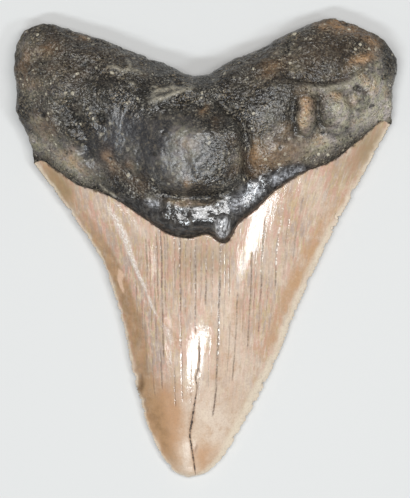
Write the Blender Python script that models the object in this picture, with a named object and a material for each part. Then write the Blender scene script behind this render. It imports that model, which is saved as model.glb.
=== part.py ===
"""A megalodon tooth, lying on its flat labial face with its bulging lingual face up.

A shark's tooth grows as one piece, so it is one closed solid. It is made of two sheets that share
their rim: the lingual sheet on top and the labial sheet below. Each sheet is a grid of rows that
runs from the tip, through the border between crown and root, to the top of the root. The rim of
the crown is its cutting edge, and the rim of the root is a rounded wall.

Every size is in millimetres, with x to the right, y from the tip to the root and z up from the
surface that the tooth lies on. The finished mesh is in metres, centred on its base.
"""

import bpy
import numpy as np

MILLIMETRE = 0.001

# Outline of the tooth seen from above, in (x, y) from the tip: the two cutting edges of the crown,
# and the root from corner to corner over both lobes and the notch between them.
TIP = (-0.3, 0.0)
LEFT_CORNER = (-38.9, 78.8)
RIGHT_CORNER = (50.5, 88.6)
LEFT_EDGE = [TIP, (-3.6, 1.5), (-6.2, 4.6), (-9.6, 11.0), (-13.6, 24.0), (-17.0, 39.7), (-22.4, 55.2),
             (-29.6, 66.2), LEFT_CORNER]
RIGHT_EDGE = [TIP, (4.4, 1.3), (7.8, 4.3), (13.0, 12.3), (20.1, 25.5), (27.6, 43.5), (35.3, 60.0),
              (44.0, 76.5), RIGHT_CORNER]
ROOT_OUTLINE = [LEFT_CORNER, (-40.1, 85.5), (-42.9, 91.3), (-43.0, 98.2), (-43.6, 104.0), (-42.3, 109.5),
                (-37.4, 113.4), (-30.5, 112.0), (-21.2, 109.5), (-10.0, 104.8), (-3.4, 102.2), (0.4, 100.4),
                (3.8, 100.6), (10.0, 103.8), (18.0, 107.4), (26.5, 111.8), (34.5, 114.7), (42.5, 112.6),
                (49.4, 108.3), (51.9, 103.6), (50.6, 96.5), RIGHT_CORNER]
LEFT_SHOULDER_SHARE = 0.232
RIGHT_SHOULDER_SHARE = 0.862

# Borders between crown and root: the lingual one dips in a deep V, the labial one is nearly straight.
LINGUAL_BORDER = [LEFT_CORNER, (-37.4, 79.4), (-32.7, 76.8), (-27.5, 73.3), (-22.2, 71.6), (-15.0, 67.7),
                  (-9.6, 63.9), (-4.2, 60.7), (0.0, 60.0), (5.4, 60.6), (6.9, 59.5), (8.5, 58.8),
                  (10.1, 59.7), (11.5, 62.4), (16.2, 66.9), (21.0, 71.4), (26.5, 75.3), (36.2, 79.6),
                  (45.2, 86.9), (48.3, 89.4), RIGHT_CORNER]
LABIAL_ARCH = 5.0

# Heights of the crown above the surface that the tooth lies on. The pairs are (y, height).
EDGE_HEIGHT = [(0.0, 2.6), (25.0, 2.9), (60.0, 4.1), (90.0, 4.4)]
CROWN_DOME = [(0.0, 0.0), (0.5, 1.0), (3.0, 2.2), (10.0, 3.8), (25.0, 6.0), (42.0, 8.2), (60.0, 10.0),
              (90.0, 12.0)]
CROWN_BELLY = [(0.0, 2.6), (0.5, 1.9), (4.0, 1.2), (15.0, 0.5), (38.0, -0.1), (55.0, -0.1), (75.0, 0.5),
               (90.0, 1.1)]

# Heights of the root's widest line, as (share of the flank or of the top, height).
FLANK_HEIGHT = [(0.0, 4.4), (0.35, 6.8), (1.0, 8.0)]
TOP_HEIGHT = [(0.0, 8.0), (0.3, 8.0), (0.47, 10.0), (0.65, 8.4), (1.0, 8.0)]

# The root's lingual face climbs from the border to a crest, then its basal face slopes to the rim.
# The pairs are (share from left to right, value).
BORDER_STEP = [(0.0, 0.0), (0.05, 1.0), (0.25, 1.7), (0.5, 2.3), (0.75, 1.8), (0.95, 1.0), (1.0, 0.0)]
CREST_PLACE = [(0.0, 0.55), (0.18, 0.66), (0.35, 0.72), (0.47, 0.64), (0.62, 0.6), (0.78, 0.53), (1.0, 0.5)]
CREST_HEIGHT = [(0.0, 10.5), (0.12, 15.2), (0.3, 18.8), (0.45, 21.8), (0.6, 20.2), (0.8, 17.6),
                (0.92, 14.6), (1.0, 10.5)]
BASE_HEIGHT = [(0.0, 8.5), (0.15, 11.2), (0.33, 12.8), (0.47, 16.6), (0.6, 14.2), (0.8, 11.4), (1.0, 8.5)]
ROOT_BELLY = [(0.0, 2.5), (0.15, 0.0), (0.3, 0.6), (0.47, 2.2), (0.65, 0.6), (0.85, 0.0), (1.0, 2.5)]

# Rounding of the root's walls, as the width of the curved band inside the rim.
LINGUAL_ROUNDING = 5.5
LABIAL_ROUNDING = 7.0
STEP_WIDTH = 1.3

# The protuberance in the middle of the root: where each side starts to rise, and over what width.
PROTUBERANCE_HEIGHT = 2.1
PROTUBERANCE_LEFT = (-13.5, 8.0)
PROTUBERANCE_RIGHT = (14.0, 3.2)
PROTUBERANCE_BOTTOM = (69.6, 4.2)
PROTUBERANCE_TOP = (93.5, 11.0)

# Swellings on the lingual face of the root: (x, y, half width, half length, turn in degrees, height).
SWELLINGS = [(8.3, 62.9, 2.3, 3.4, 0.0, 1.3),
             (28.8, 90.4, 2.2, 4.6, -4.0, 1.9),
             (35.4, 92.8, 2.5, 2.7, 10.0, 1.3),
             (40.6, 93.2, 2.2, 2.3, 0.0, 1.0),
             (22.6, 81.3, 9.5, 3.6, 12.0, 1.4),
             (45.4, 94.4, 4.2, 6.0, 0.0, 0.9),
             (-33.5, 98.5, 6.5, 8.5, 20.0, 1.1),
             (-20.0, 96.0, 5.5, 4.0, -15.0, 0.9),
             (-13.5, 79.5, 3.8, 5.2, 10.0, 0.9),
             (-27.0, 78.5, 6.0, 3.0, -28.0, 0.9),
             (20.5, 97.5, 5.0, 4.0, 30.0, 1.0),
             (34.0, 103.5, 6.5, 3.6, 5.0, 0.9),
             (-27.0, 106.0, 7.5, 2.6, -12.0, 0.7)]

# Ridges (height above 0) and grooves (below 0), fading towards their ends: (points, half width, height).
CREASES = [([(-32.0, 94.5), (-28.5, 90.0), (-25.2, 84.8), (-25.0, 78.5)], 1.3, -1.2),
           ([(5.5, 95.0), (12.8, 88.5), (14.6, 82.5), (14.4, 79.0), (17.6, 72.8)], 1.2, -1.7),
           ([(-11.5, 76.5), (-7.0, 72.0), (-1.8, 69.8), (4.8, 70.2), (13.5, 73.2)], 1.3, -1.2),
           ([(26.2, 96.0), (25.6, 90.3), (26.6, 84.5)], 1.0, -1.2),
           ([(31.8, 96.0), (32.4, 91.0), (31.4, 85.0)], 1.0, -1.2),
           ([(38.2, 96.5), (38.4, 89.5)], 0.9, -0.8),
           ([(20.0, 99.5), (25.8, 97.0), (31.0, 96.2), (39.5, 97.0), (42.9, 100.0), (49.3, 104.8)], 1.3, 0.8),
           ([(-12.0, 93.0), (-3.0, 95.6), (4.3, 98.4)], 1.5, 0.9),
           ([(-24.0, 101.8), (-16.0, 101.8), (-9.0, 100.6)], 1.2, 0.7)]

# Nutrient holes in the root, lingual ones and labial ones: (x, y, radius, depth).
LINGUAL_HOLES = [(-21.5, 89.3, 1.2, 1.9), (3.0, 92.3, 1.0, 1.3), (-36.0, 90.5, 0.8, 0.9)]
LABIAL_HOLES = [(-17.0, 96.5, 1.1, 1.4), (23.5, 98.0, 1.0, 1.3), (5.0, 94.5, 1.2, 1.5)]

# Unevenness of the root: soft seeded lumps, as a half size, a height and how many lie on each face.
LUMP_ACROSS = (-43.0, 51.0)
LUMP_ALONG = (62.0, 114.0)
LUMP_HALF_SIZE = (1.6, 3.6)
LUMP_HEIGHT = 0.45
LUMP_COUNT = 170
LUMP_SEED = 11

# Grid: columns from left to right, and rows of the crown and of the root.
COLUMNS = 168
CROWN_ROWS = 48
ROOT_ROWS = 68
TRIANGLES = 9600

# Finishes: base colour, roughness and metallic value of enamel and of root.
ENAMEL = ("enamel", (0.56, 0.39, 0.27), 0.28, 0.0)
ROOT = ("root_bone", (0.065, 0.058, 0.052), 0.5, 0.0)


def curve_through(points, share):
    """Points at each share of the length of a smooth curve through the given points.

    The curve is a cubic between each pair of points. Its slope at a point is that of the line
    between the two neighbours (Catmull-Rom), with the chord length as its parameter.
    """
    points = np.asarray(points, dtype=float)
    chord = np.linalg.norm(np.diff(points, axis=0), axis=1)
    station = np.concatenate(([0.0], np.cumsum(chord)))
    slope = np.gradient(points, station, axis=0)
    place = np.asarray(share, dtype=float) * station[-1]
    span = np.clip(np.searchsorted(station, place, side="right") - 1, 0, len(chord) - 1)
    length = chord[span]
    f = ((place - station[span]) / length)[..., None]
    length = length[..., None]
    return (points[span] * (1 + 2 * f) * (1 - f) ** 2 + points[span + 1] * f**2 * (3 - 2 * f)
            + slope[span] * length * f * (1 - f) ** 2 - slope[span + 1] * length * f**2 * (1 - f))


def value_at(pairs, place):
    """A smooth value at each place, through the given (place, value) pairs, as curve_through does."""
    places, values = np.asarray(pairs, dtype=float).T
    slope = np.gradient(values, places)
    place = np.clip(place, places[0], places[-1])
    span = np.clip(np.searchsorted(places, place, side="right") - 1, 0, len(places) - 2)
    length = places[span + 1] - places[span]
    f = (place - places[span]) / length
    return (values[span] * (1 + 2 * f) * (1 - f) ** 2 + values[span + 1] * f**2 * (3 - 2 * f)
            + slope[span] * length * f * (1 - f) ** 2 - slope[span + 1] * length * f**2 * (1 - f))


def line_at(points, across):
    """A line from left to right with its x evenly shared out and its y on the smooth curve."""
    first_x, last_x = points[0][0], points[-1][0]
    x = first_x + (last_x - first_x) * across
    return np.stack([x, value_at(points, x)], axis=-1)


def smooth_step(value):
    """0 below 0, 1 above 1, and an S curve between."""
    value = np.clip(value, 0.0, 1.0)
    return value * value * (3 - 2 * value)


def quarter_round(distance, width):
    """0 at the rim, rising as a quarter circle to 1 at the given width inside it."""
    inside = np.clip(distance / width, 0.0, 1.0)
    return np.sqrt(1 - (1 - inside) ** 2)


def labial_border():
    """The labial border: a straight line from corner to corner, with a low arch towards the root."""
    share = np.linspace(0.0, 1.0, 9)
    x = LEFT_CORNER[0] + (RIGHT_CORNER[0] - LEFT_CORNER[0]) * share
    y = LEFT_CORNER[1] + (RIGHT_CORNER[1] - LEFT_CORNER[1]) * share + LABIAL_ARCH * 4 * share * (1 - share)
    return list(zip(x, y))


def crown_plan(border, across, up):
    """Places of the crown's rows: straight from edge to edge at the tip, bending into the border."""
    left = curve_through(LEFT_EDGE, up)[:, None, :]
    right = curve_through(RIGHT_EDGE, up)[:, None, :]
    share = across[None, :, None]
    rows = left * (1 - share) + right * share
    straight = np.array(LEFT_CORNER) * (1 - share) + np.array(RIGHT_CORNER) * share
    bend = line_at(border, across)[None] - straight
    return rows + bend * up[:, None, None] ** 1.5


def root_plan(border, across, up):
    """Places of the root's rows: a four-sided patch between border, flanks and top (a Coons patch)."""
    bottom = line_at(border, across)[None]
    top_share = LEFT_SHOULDER_SHARE + (RIGHT_SHOULDER_SHARE - LEFT_SHOULDER_SHARE) * across
    top = curve_through(ROOT_OUTLINE, top_share)[None]
    left = curve_through(ROOT_OUTLINE, LEFT_SHOULDER_SHARE * up)[:, None, :]
    right = curve_through(ROOT_OUTLINE, 1 - (1 - RIGHT_SHOULDER_SHARE) * up)[:, None, :]
    s = across[None, :, None]
    w = up[:, None, None]
    corners = ((1 - w) * ((1 - s) * bottom[:, :1] + s * bottom[:, -1:])
               + w * ((1 - s) * top[:, :1] + s * top[:, -1:]))
    return (1 - w) * bottom + w * top + (1 - s) * left + s * right - corners


def crown_side(plan):
    """How far across the crown each place is: -1 on the left cutting edge, 1 on the right one."""
    along = np.linspace(0.0, 1.0, 400)
    left = curve_through(LEFT_EDGE, along)
    right = curve_through(RIGHT_EDGE, along)
    left_x = np.interp(plan[..., 1], left[:, 1], left[:, 0])
    right_x = np.interp(plan[..., 1], right[:, 1], right[:, 0])
    width = np.maximum(right_x - left_x, 1e-6)
    return np.clip(2 * (plan[..., 0] - left_x) / width - 1, -1.0, 1.0)


def crown_upper(plan):
    """Height of the crown's lingual face: a dome between the cutting edges, higher towards the root."""
    q = crown_side(plan)
    y = plan[..., 1]
    return value_at(EDGE_HEIGHT, y) + value_at(CROWN_DOME, y) * (1 - 1.2 * q**2 + 0.2 * q**4)


def crown_lower(plan):
    """Height of the crown's labial face: a shallow belly between the edges, flat where it rests."""
    q = crown_side(plan)
    y = plan[..., 1]
    edge = value_at(EDGE_HEIGHT, y)
    return np.maximum(edge - (edge - value_at(CROWN_BELLY, y)) * (1 - np.abs(q) ** 2.4), 0.0)


def line_distance(x, y, points):
    """Distance of each place from a line of straight runs, and its share of the way along the line."""
    runs = np.linalg.norm(np.diff(points, axis=0), axis=1)
    station = 0.0
    nearest = np.full(np.shape(x), np.inf)
    share = np.zeros(np.shape(x))
    for (x0, y0), (x1, y1), length in zip(points[:-1], points[1:], runs):
        f = np.clip(((x - x0) * (x1 - x0) + (y - y0) * (y1 - y0)) / length**2, 0.0, 1.0)
        distance = np.hypot(x - x0 - f * (x1 - x0), y - y0 - f * (y1 - y0))
        share = np.where(distance < nearest, (station + f * length) / runs.sum(), share)
        nearest = np.minimum(nearest, distance)
        station += length
    return nearest, share


def rim_distance(plan):
    """Distance of each place of the root's patch from the rim: left flank, top and right flank."""
    rim = np.concatenate([plan[:-1, 0], plan[-1], plan[-2::-1, -1]])
    return line_distance(plan[..., 0], plan[..., 1], rim)[0]


def rim_height(across, up):
    """Height of the root's widest line, carried over the patch from the flanks and the top."""
    flank = value_at(FLANK_HEIGHT, up)[:, None]
    top = value_at(TOP_HEIGHT, across)[None]
    return flank + (top - TOP_HEIGHT[0][1]) * up[:, None] ** 2


def swelling(x, y, feature):
    """A rounded hill: the height times (1 - r squared) squared, r being 1 at its elliptic foot."""
    centre_x, centre_y, half_width, half_length, turn, height = feature
    angle = np.radians(turn)
    along_x = (x - centre_x) * np.cos(angle) + (y - centre_y) * np.sin(angle)
    along_y = (y - centre_y) * np.cos(angle) - (x - centre_x) * np.sin(angle)
    r = np.clip((along_x / half_width) ** 2 + (along_y / half_length) ** 2, 0.0, 1.0)
    return height * (1 - r) ** 2


def protuberance(x, y):
    """The block in the middle of the root: an S-shaped rise from each of its four sides, multiplied."""
    rise = PROTUBERANCE_HEIGHT * smooth_step((x - PROTUBERANCE_LEFT[0]) / PROTUBERANCE_LEFT[1])
    rise = rise * smooth_step((PROTUBERANCE_RIGHT[0] - x) / PROTUBERANCE_RIGHT[1])
    rise = rise * smooth_step((y - PROTUBERANCE_BOTTOM[0]) / PROTUBERANCE_BOTTOM[1])
    return rise * smooth_step((PROTUBERANCE_TOP[0] - y) / PROTUBERANCE_TOP[1])


def crease(x, y, feature):
    """A ridge or groove along a line: a bell curve across it, fading to nothing at both ends."""
    points, half_width, height = feature
    distance, share = line_distance(x, y, points)
    fade = smooth_step(4 * share) * smooth_step(4 * (1 - share))
    return height * fade * np.exp(-((distance / half_width) ** 2))


def holes(x, y, features):
    """Nutrient holes, each a round dimple that is steepest halfway down."""
    depth = np.zeros(x.shape)
    for centre_x, centre_y, radius, deep in features:
        depth -= deep * np.exp(-(((x - centre_x) ** 2 + (y - centre_y) ** 2) / radius**2))
    return depth


def lumps(x, y, seed):
    """Soft uneven lumps and hollows, scattered over the root with a fixed seed."""
    draw = np.random.default_rng(seed)
    total = np.zeros(x.shape)
    for _ in range(LUMP_COUNT):
        centre_x = draw.uniform(*LUMP_ACROSS)
        centre_y = draw.uniform(*LUMP_ALONG)
        half_size = draw.uniform(*LUMP_HALF_SIZE)
        height = LUMP_HEIGHT * draw.uniform(-1.0, 1.0)
        total += height * np.exp(-(((x - centre_x) ** 2 + (y - centre_y) ** 2) / half_size**2))
    return total


def root_relief(x, y):
    """Everything that stands proud of the root's smooth lingual form, or is sunk in it."""
    relief = protuberance(x, y) + lumps(x, y, LUMP_SEED) + holes(x, y, LINGUAL_HOLES)
    for feature in SWELLINGS:
        relief += swelling(x, y, feature)
    for feature in CREASES:
        relief += crease(x, y, feature)
    return relief


def root_upper(plan, across, up):
    """Height of the root's lingual face, from the step at the border, over the crest, to the rim."""
    border = crown_upper(plan[:1])
    step = value_at(BORDER_STEP, across)
    crest_place = value_at(CREST_PLACE, across)[None]
    crest = value_at(CREST_HEIGHT, across)[None]
    base = value_at(BASE_HEIGHT, across)[None]
    w = up[:, None]
    climb = 1 - (1 - np.clip(w / crest_place, 0.0, 1.0)) ** 1.8
    fall = np.clip((w - crest_place) / (1 - crest_place), 0.0, 1.0) ** 1.2
    border_distance = line_distance(plan[..., 0], plan[..., 1], plan[0])[0]
    body = border + step + (crest - border - step) * climb - (crest - base) * fall
    body = body + root_relief(plan[..., 0], plan[..., 1])
    rim = rim_height(across, up)
    rounded = rim + (body - rim) * quarter_round(rim_distance(plan), LINGUAL_ROUNDING)
    return border + (rounded - border) * quarter_round(border_distance, STEP_WIDTH)


def root_lower(plan, across, up):
    """Height of the root's labial face: nearly flat, touching the surface under the two lobes."""
    border = crown_lower(plan[:1])
    belly = value_at(ROOT_BELLY, across)[None]
    w = up[:, None]
    x, y = plan[..., 0], plan[..., 1]
    body = border + (belly - border) * smooth_step(w / 0.5) + 0.6 * lumps(x, y, LUMP_SEED + 1)
    body = body - holes(x, y, LABIAL_HOLES)
    rim = rim_height(across, up)
    rounded = rim + (body - rim) * quarter_round(rim_distance(plan), LABIAL_ROUNDING)
    return np.maximum(border + (rounded - border) * smooth_step(w / 0.2), 0.0)


def column_shares():
    """Shares of the way from left to right, close together at both rims and wide in the middle."""
    even = np.linspace(-1.0, 1.0, COLUMNS + 1)
    return (1 + 0.3 * even + 0.7 * np.sin(even * np.pi / 2)) / 2


def sheets():
    """The lingual and labial grids of points, with their last crown row as the root's first row."""
    across = column_shares()
    crown_up = np.linspace(0.0, 1.0, CROWN_ROWS + 1)[1:] ** 1.25
    root_up = np.linspace(0.0, 1.0, ROOT_ROWS + 1)[1:]
    root_up = 0.35 * root_up + 0.65 * np.sin(root_up * np.pi / 2)
    grids = []
    for border, crown_height, root_height in ((LINGUAL_BORDER, crown_upper, root_upper),
                                              (labial_border(), crown_lower, root_lower)):
        crown = crown_plan(border, across, crown_up)
        root = root_plan(border, across, np.concatenate(([0.0], root_up)))
        height = np.concatenate([crown_height(crown), root_height(root, across, np.append(0.0, root_up))[1:]])
        plan = np.concatenate([crown, root[1:]])
        grids.append(np.concatenate([plan, height[..., None]], axis=-1))
    return grids


def grid_triangles(index, points, outward):
    """Two triangles for each cell of a grid, cut along its shorter diagonal.

    The two cells at the shoulders are cut from the shoulder inwards, because both sheets have them.
    """
    a, b, c, d = index[:-1, :-1], index[:-1, 1:], index[1:, 1:], index[1:, :-1]
    rising = np.linalg.norm(points[a] - points[c], axis=-1) < np.linalg.norm(points[b] - points[d], axis=-1)
    rising[-1, 0] = False
    rising[-1, -1] = True
    first = np.stack([a, b, np.where(rising, c, d)], axis=-1)
    second = np.stack([np.where(rising, a, b), c, d], axis=-1)
    triangles = np.stack([first, second], axis=2).reshape(-1, 3)
    return triangles if outward else triangles[:, ::-1]


def tooth_mesh():
    """The closed mesh: both sheets, joined along the cutting edges, flanks, root top and tip."""
    upper, lower = sheets()
    rows, columns = upper.shape[:2]
    upper_index = np.arange(rows * columns).reshape(rows, columns)
    own = np.zeros((rows, columns), dtype=bool)
    own[:-1, 1:-1] = True
    lower_index = upper_index.copy()
    lower_index[own] = rows * columns + np.arange(own.sum())
    tip_index = rows * columns + own.sum()
    tip = np.array([[TIP[0], TIP[1], EDGE_HEIGHT[0][1]]])
    points = np.concatenate([upper.reshape(-1, 3), lower[own], tip])
    upper_fan = [(tip_index, after, before)
                 for before, after in zip(upper_index[0, :-1], upper_index[0, 1:])]
    lower_fan = [(tip_index, before, after)
                 for before, after in zip(lower_index[0, :-1], lower_index[0, 1:])]
    faces = np.concatenate([grid_triangles(upper_index, points, True),
                            grid_triangles(lower_index, points, False), upper_fan, lower_fan])
    row_of_cell = np.repeat(np.arange(rows - 1), 2 * (columns - 1))
    is_root = (row_of_cell >= CROWN_ROWS - 1).astype(int)
    finishes = np.concatenate([is_root, is_root, np.zeros(2 * (columns - 1), dtype=int)])
    return points, faces, finishes


def finish(name, colour, roughness, metallic):
    """A plain material of one colour."""
    material = bpy.data.materials.new(name)
    material.use_nodes = True
    shader = material.node_tree.nodes["Principled BSDF"]
    shader.inputs["Base Color"].default_value = (*colour, 1.0)
    shader.inputs["Roughness"].default_value = roughness
    shader.inputs["Metallic"].default_value = metallic
    return material


def build():
    """Make the tooth, centre it on its base and thin its triangles where it is smooth."""
    for old in list(bpy.data.objects):
        bpy.data.objects.remove(old, do_unlink=True)
    points, faces, finishes = tooth_mesh()
    middle = (points.min(axis=0) + points.max(axis=0)) / 2
    points = (points - (middle[0], middle[1], 0.0)) * MILLIMETRE
    mesh = bpy.data.meshes.new("tooth")
    mesh.from_pydata(points.tolist(), [], faces.tolist())
    mesh.materials.append(finish(*ENAMEL))
    mesh.materials.append(finish(*ROOT))
    mesh.polygons.foreach_set("material_index", finishes)
    tooth = bpy.data.objects.new("tooth", mesh)
    bpy.context.scene.collection.objects.link(tooth)
    thinning = tooth.modifiers.new("thinning", "DECIMATE")
    thinning.ratio = TRIANGLES / len(faces)
    mesh.shade_smooth()
    mesh.validate()


build()
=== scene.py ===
# %% [markdown]
# # A megalodon tooth
# This lesson dresses a fossil shark tooth. The tooth lies on its flat labial face, and we look down
# on its bulging lingual face. It grew as one piece, so it stays one closed skin here as well. That
# skin has two finishes: glassy tan enamel on the crown, and rough dark bone on the root.

# %% The frame
import bpy
import numpy as np
from mathutils import Matrix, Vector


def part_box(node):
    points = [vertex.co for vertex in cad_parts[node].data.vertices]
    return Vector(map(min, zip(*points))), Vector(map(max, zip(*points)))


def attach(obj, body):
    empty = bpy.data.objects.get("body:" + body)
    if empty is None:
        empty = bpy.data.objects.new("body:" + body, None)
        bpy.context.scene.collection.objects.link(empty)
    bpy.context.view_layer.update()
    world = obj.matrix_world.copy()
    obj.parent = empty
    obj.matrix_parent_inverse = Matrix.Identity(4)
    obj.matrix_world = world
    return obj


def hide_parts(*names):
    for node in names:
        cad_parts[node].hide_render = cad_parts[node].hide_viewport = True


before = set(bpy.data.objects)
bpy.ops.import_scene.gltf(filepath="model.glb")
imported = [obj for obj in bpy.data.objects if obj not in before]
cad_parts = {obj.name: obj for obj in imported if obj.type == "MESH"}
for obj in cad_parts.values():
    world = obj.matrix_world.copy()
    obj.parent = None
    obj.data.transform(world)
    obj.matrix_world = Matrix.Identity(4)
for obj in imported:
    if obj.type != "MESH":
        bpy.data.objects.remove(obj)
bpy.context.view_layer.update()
box_low, box_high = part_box("tooth")
print("the solid measures", [round(side * 1000, 1) for side in box_high - box_low], "mm")

# %% [markdown]
# ## Curves
# Every line on the tooth is drawn with a few points. A smooth curve through few points is
# easier to change than a long list, and it can be read at any spacing. All sizes here are in
# millimetres: x to the right, y from the tip towards the root, and z up.

# %% Smooth curves and values
def curve_through(points, share):
    """Points at each share of a curve's length.

    Between two points the curve is a cubic, and its slope at a point is that of the line between
    the two neighbours (Catmull-Rom), with the chord length as its parameter.
    """
    points = np.asarray(points, dtype=float)
    chord = np.linalg.norm(np.diff(points, axis=0), axis=1)
    station = np.concatenate(([0.0], np.cumsum(chord)))
    slope = np.gradient(points, station, axis=0)
    place = np.asarray(share, dtype=float) * station[-1]
    span = np.clip(np.searchsorted(station, place, side="right") - 1, 0, len(chord) - 1)
    f = ((place - station[span]) / chord[span])[..., None]
    length = chord[span][..., None]
    return (points[span] * (1 + 2 * f) * (1 - f) ** 2 + points[span + 1] * f**2 * (3 - 2 * f)
            + slope[span] * length * f * (1 - f) ** 2 - slope[span + 1] * length * f**2 * (1 - f))


def value_at(pairs, place):
    """A smooth value at each place, through (place, value) pairs, by the same cubic rule."""
    places, values = np.asarray(pairs, dtype=float).T
    slope = np.gradient(values, places)
    place = np.clip(place, places[0], places[-1])
    span = np.clip(np.searchsorted(places, place, side="right") - 1, 0, len(places) - 2)
    length = places[span + 1] - places[span]
    f = (place - places[span]) / length
    return (values[span] * (1 + 2 * f) * (1 - f) ** 2 + values[span + 1] * f**2 * (3 - 2 * f)
            + slope[span] * length * f * (1 - f) ** 2 - slope[span + 1] * length * f**2 * (1 - f))


def smooth_step(value):
    """0 below 0, 1 above 1, and an S curve between: three times the square less twice the cube."""
    value = np.clip(value, 0.0, 1.0)
    return value * value * (3 - 2 * value)


# %% [markdown]
# ## The outline
# Three lines make the outline: a cutting edge on each side of the crown, from the tip to a corner,
# and the top of the root over both lobes. The tooth is not symmetric, because it sat to one side of
# the jaw: its right edge is longer and its right lobe is higher.

# %% The outline and the borders of the enamel
TIP = (-0.3, 0.0)
LEFT_CORNER = (-38.9, 78.8)
RIGHT_CORNER = (50.5, 88.6)
LEFT_EDGE = [TIP, (-3.6, 1.5), (-6.2, 4.6), (-9.6, 11.0), (-13.6, 24.0), (-17.0, 39.7), (-22.4, 55.2),
             (-29.6, 66.2), LEFT_CORNER]
RIGHT_EDGE = [TIP, (4.4, 1.3), (7.8, 4.3), (13.0, 12.3), (20.1, 25.5), (27.6, 43.5), (35.3, 60.0),
              (44.0, 76.5), RIGHT_CORNER]
ROOT_OUTLINE = [LEFT_CORNER, (-40.1, 85.5), (-42.9, 91.3), (-43.0, 98.2), (-43.6, 104.0), (-42.3, 109.5),
                (-37.4, 113.4), (-30.5, 112.0), (-21.2, 109.5), (-10.0, 104.8), (-3.4, 102.2), (0.4, 100.4),
                (3.8, 100.6), (10.0, 103.8), (18.0, 107.4), (26.5, 111.8), (34.5, 114.7), (42.5, 112.6),
                (49.4, 108.3), (51.9, 103.6), (50.6, 96.5), RIGHT_CORNER]
LEFT_SHOULDER_SHARE = 0.232
RIGHT_SHOULDER_SHARE = 0.862
LINGUAL_BORDER = [LEFT_CORNER, (-37.4, 79.4), (-32.7, 76.8), (-27.5, 73.3), (-22.2, 71.6), (-15.0, 67.7),
                  (-9.6, 63.9), (-4.2, 60.7), (0.0, 60.0), (5.4, 60.6), (6.9, 59.5), (8.5, 58.8),
                  (10.1, 59.7), (11.5, 62.4), (16.2, 66.9), (21.0, 71.4), (26.5, 75.3), (36.2, 79.6),
                  (45.2, 86.9), (48.3, 89.4), RIGHT_CORNER]
LABIAL_ARCH = 5.0


def labial_border():
    """The border on the labial face: a straight line with a low arch, four times share times rest."""
    share = np.linspace(0.0, 1.0, 9)
    x = LEFT_CORNER[0] + (RIGHT_CORNER[0] - LEFT_CORNER[0]) * share
    y = LEFT_CORNER[1] + (RIGHT_CORNER[1] - LEFT_CORNER[1]) * share + LABIAL_ARCH * 4 * share * (1 - share)
    return list(zip(x, y))


def line_at(points, across):
    """A line from left to right with its x evenly shared out and its y on the smooth curve."""
    x = points[0][0] + (points[-1][0] - points[0][0]) * across
    return np.stack([x, value_at(points, x)], axis=-1)


# %% [markdown]
# ## The grid
# The skin is two sheets that share their rim, one over the lingual face and one over the labial
# face. Each is a grid of two parameters: `across` from left to right, and `up` from the tip to the
# border and on to the top of the root. The cutting edges need rows four times as close as the rest,
# because each serration takes four of them, so the crown is worked out on fine rows throughout and
# only its margins keep them all.

# %% Rows and columns
COLUMNS = 188
SERRATIONS = 115
FINE_ROWS = 4
MARGIN_COLUMNS = 6
ROOT_ROWS = 90

even = np.linspace(-1.0, 1.0, COLUMNS + 1)
across = (1 + 0.5 * even + 0.5 * np.sin(even * np.pi / 2)) / 2
crown_up = np.linspace(0.0, 1.0, SERRATIONS * FINE_ROWS + 1)
crown_up = 0.9 * crown_up + 0.1 * crown_up**2
root_up = np.linspace(0.0, 1.0, ROOT_ROWS + 1)
root_up = 0.5 * root_up + 0.5 * (1 - np.cos(np.pi * root_up)) / 2
print("columns", COLUMNS, "fine crown rows", len(crown_up) - 1, "root rows", ROOT_ROWS)


def crown_plan(border):
    """Places of the crown's rows: straight across at the tip, bent like the border at the top.

    The bend grows with `up` to the power 1.5.
    """
    left = curve_through(LEFT_EDGE, crown_up)[:, None, :]
    right = curve_through(RIGHT_EDGE, crown_up)[:, None, :]
    share = across[None, :, None]
    straight = np.array(LEFT_CORNER) * (1 - share) + np.array(RIGHT_CORNER) * share
    bend = line_at(border, across)[None] - straight
    return left * (1 - share) + right * share + bend * crown_up[:, None, None] ** 1.5


def root_plan(border):
    """Places of the root's rows, a Coons patch.

    The blend of the bottom and top lines, plus the blend of the left and right flanks, less the
    blend of the four corners.
    """
    bottom = line_at(border, across)[None]
    top_share = LEFT_SHOULDER_SHARE + (RIGHT_SHOULDER_SHARE - LEFT_SHOULDER_SHARE) * across
    top = curve_through(ROOT_OUTLINE, top_share)[None]
    left = curve_through(ROOT_OUTLINE, LEFT_SHOULDER_SHARE * root_up)[:, None, :]
    right = curve_through(ROOT_OUTLINE, 1 - (1 - RIGHT_SHOULDER_SHARE) * root_up)[:, None, :]
    s = across[None, :, None]
    w = root_up[:, None, None]
    corners = ((1 - w) * ((1 - s) * bottom[:, :1] + s * bottom[:, -1:])
               + w * ((1 - s) * top[:, :1] + s * top[:, -1:]))
    return (1 - w) * bottom + w * top + (1 - s) * left + s * right - corners


# %% [markdown]
# ## The crown's two faces
# Seen across, the lingual face is a dome and the labial face is almost flat, and they meet in the
# cutting edges. Heights are worked out from the place seen from above and not from the grid, so
# that no crease shows where the grid bends round the border.

# %% Heights of the crown
EDGE_HEIGHT = [(0.0, 2.6), (25.0, 2.9), (60.0, 4.1), (90.0, 4.4)]
CROWN_DOME = [(0.0, 0.0), (0.5, 1.0), (3.0, 2.0), (10.0, 3.4), (15.0, 4.5), (25.0, 6.4), (31.5, 7.35),
              (38.0, 8.1), (45.0, 8.65), (60.0, 9.5), (90.0, 10.8)]
CROWN_BELLY = [(0.0, 2.6), (0.5, 1.9), (4.0, 1.2), (15.0, 0.5), (38.0, -0.1), (55.0, -0.1), (75.0, 0.5),
               (90.0, 1.1)]


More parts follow.
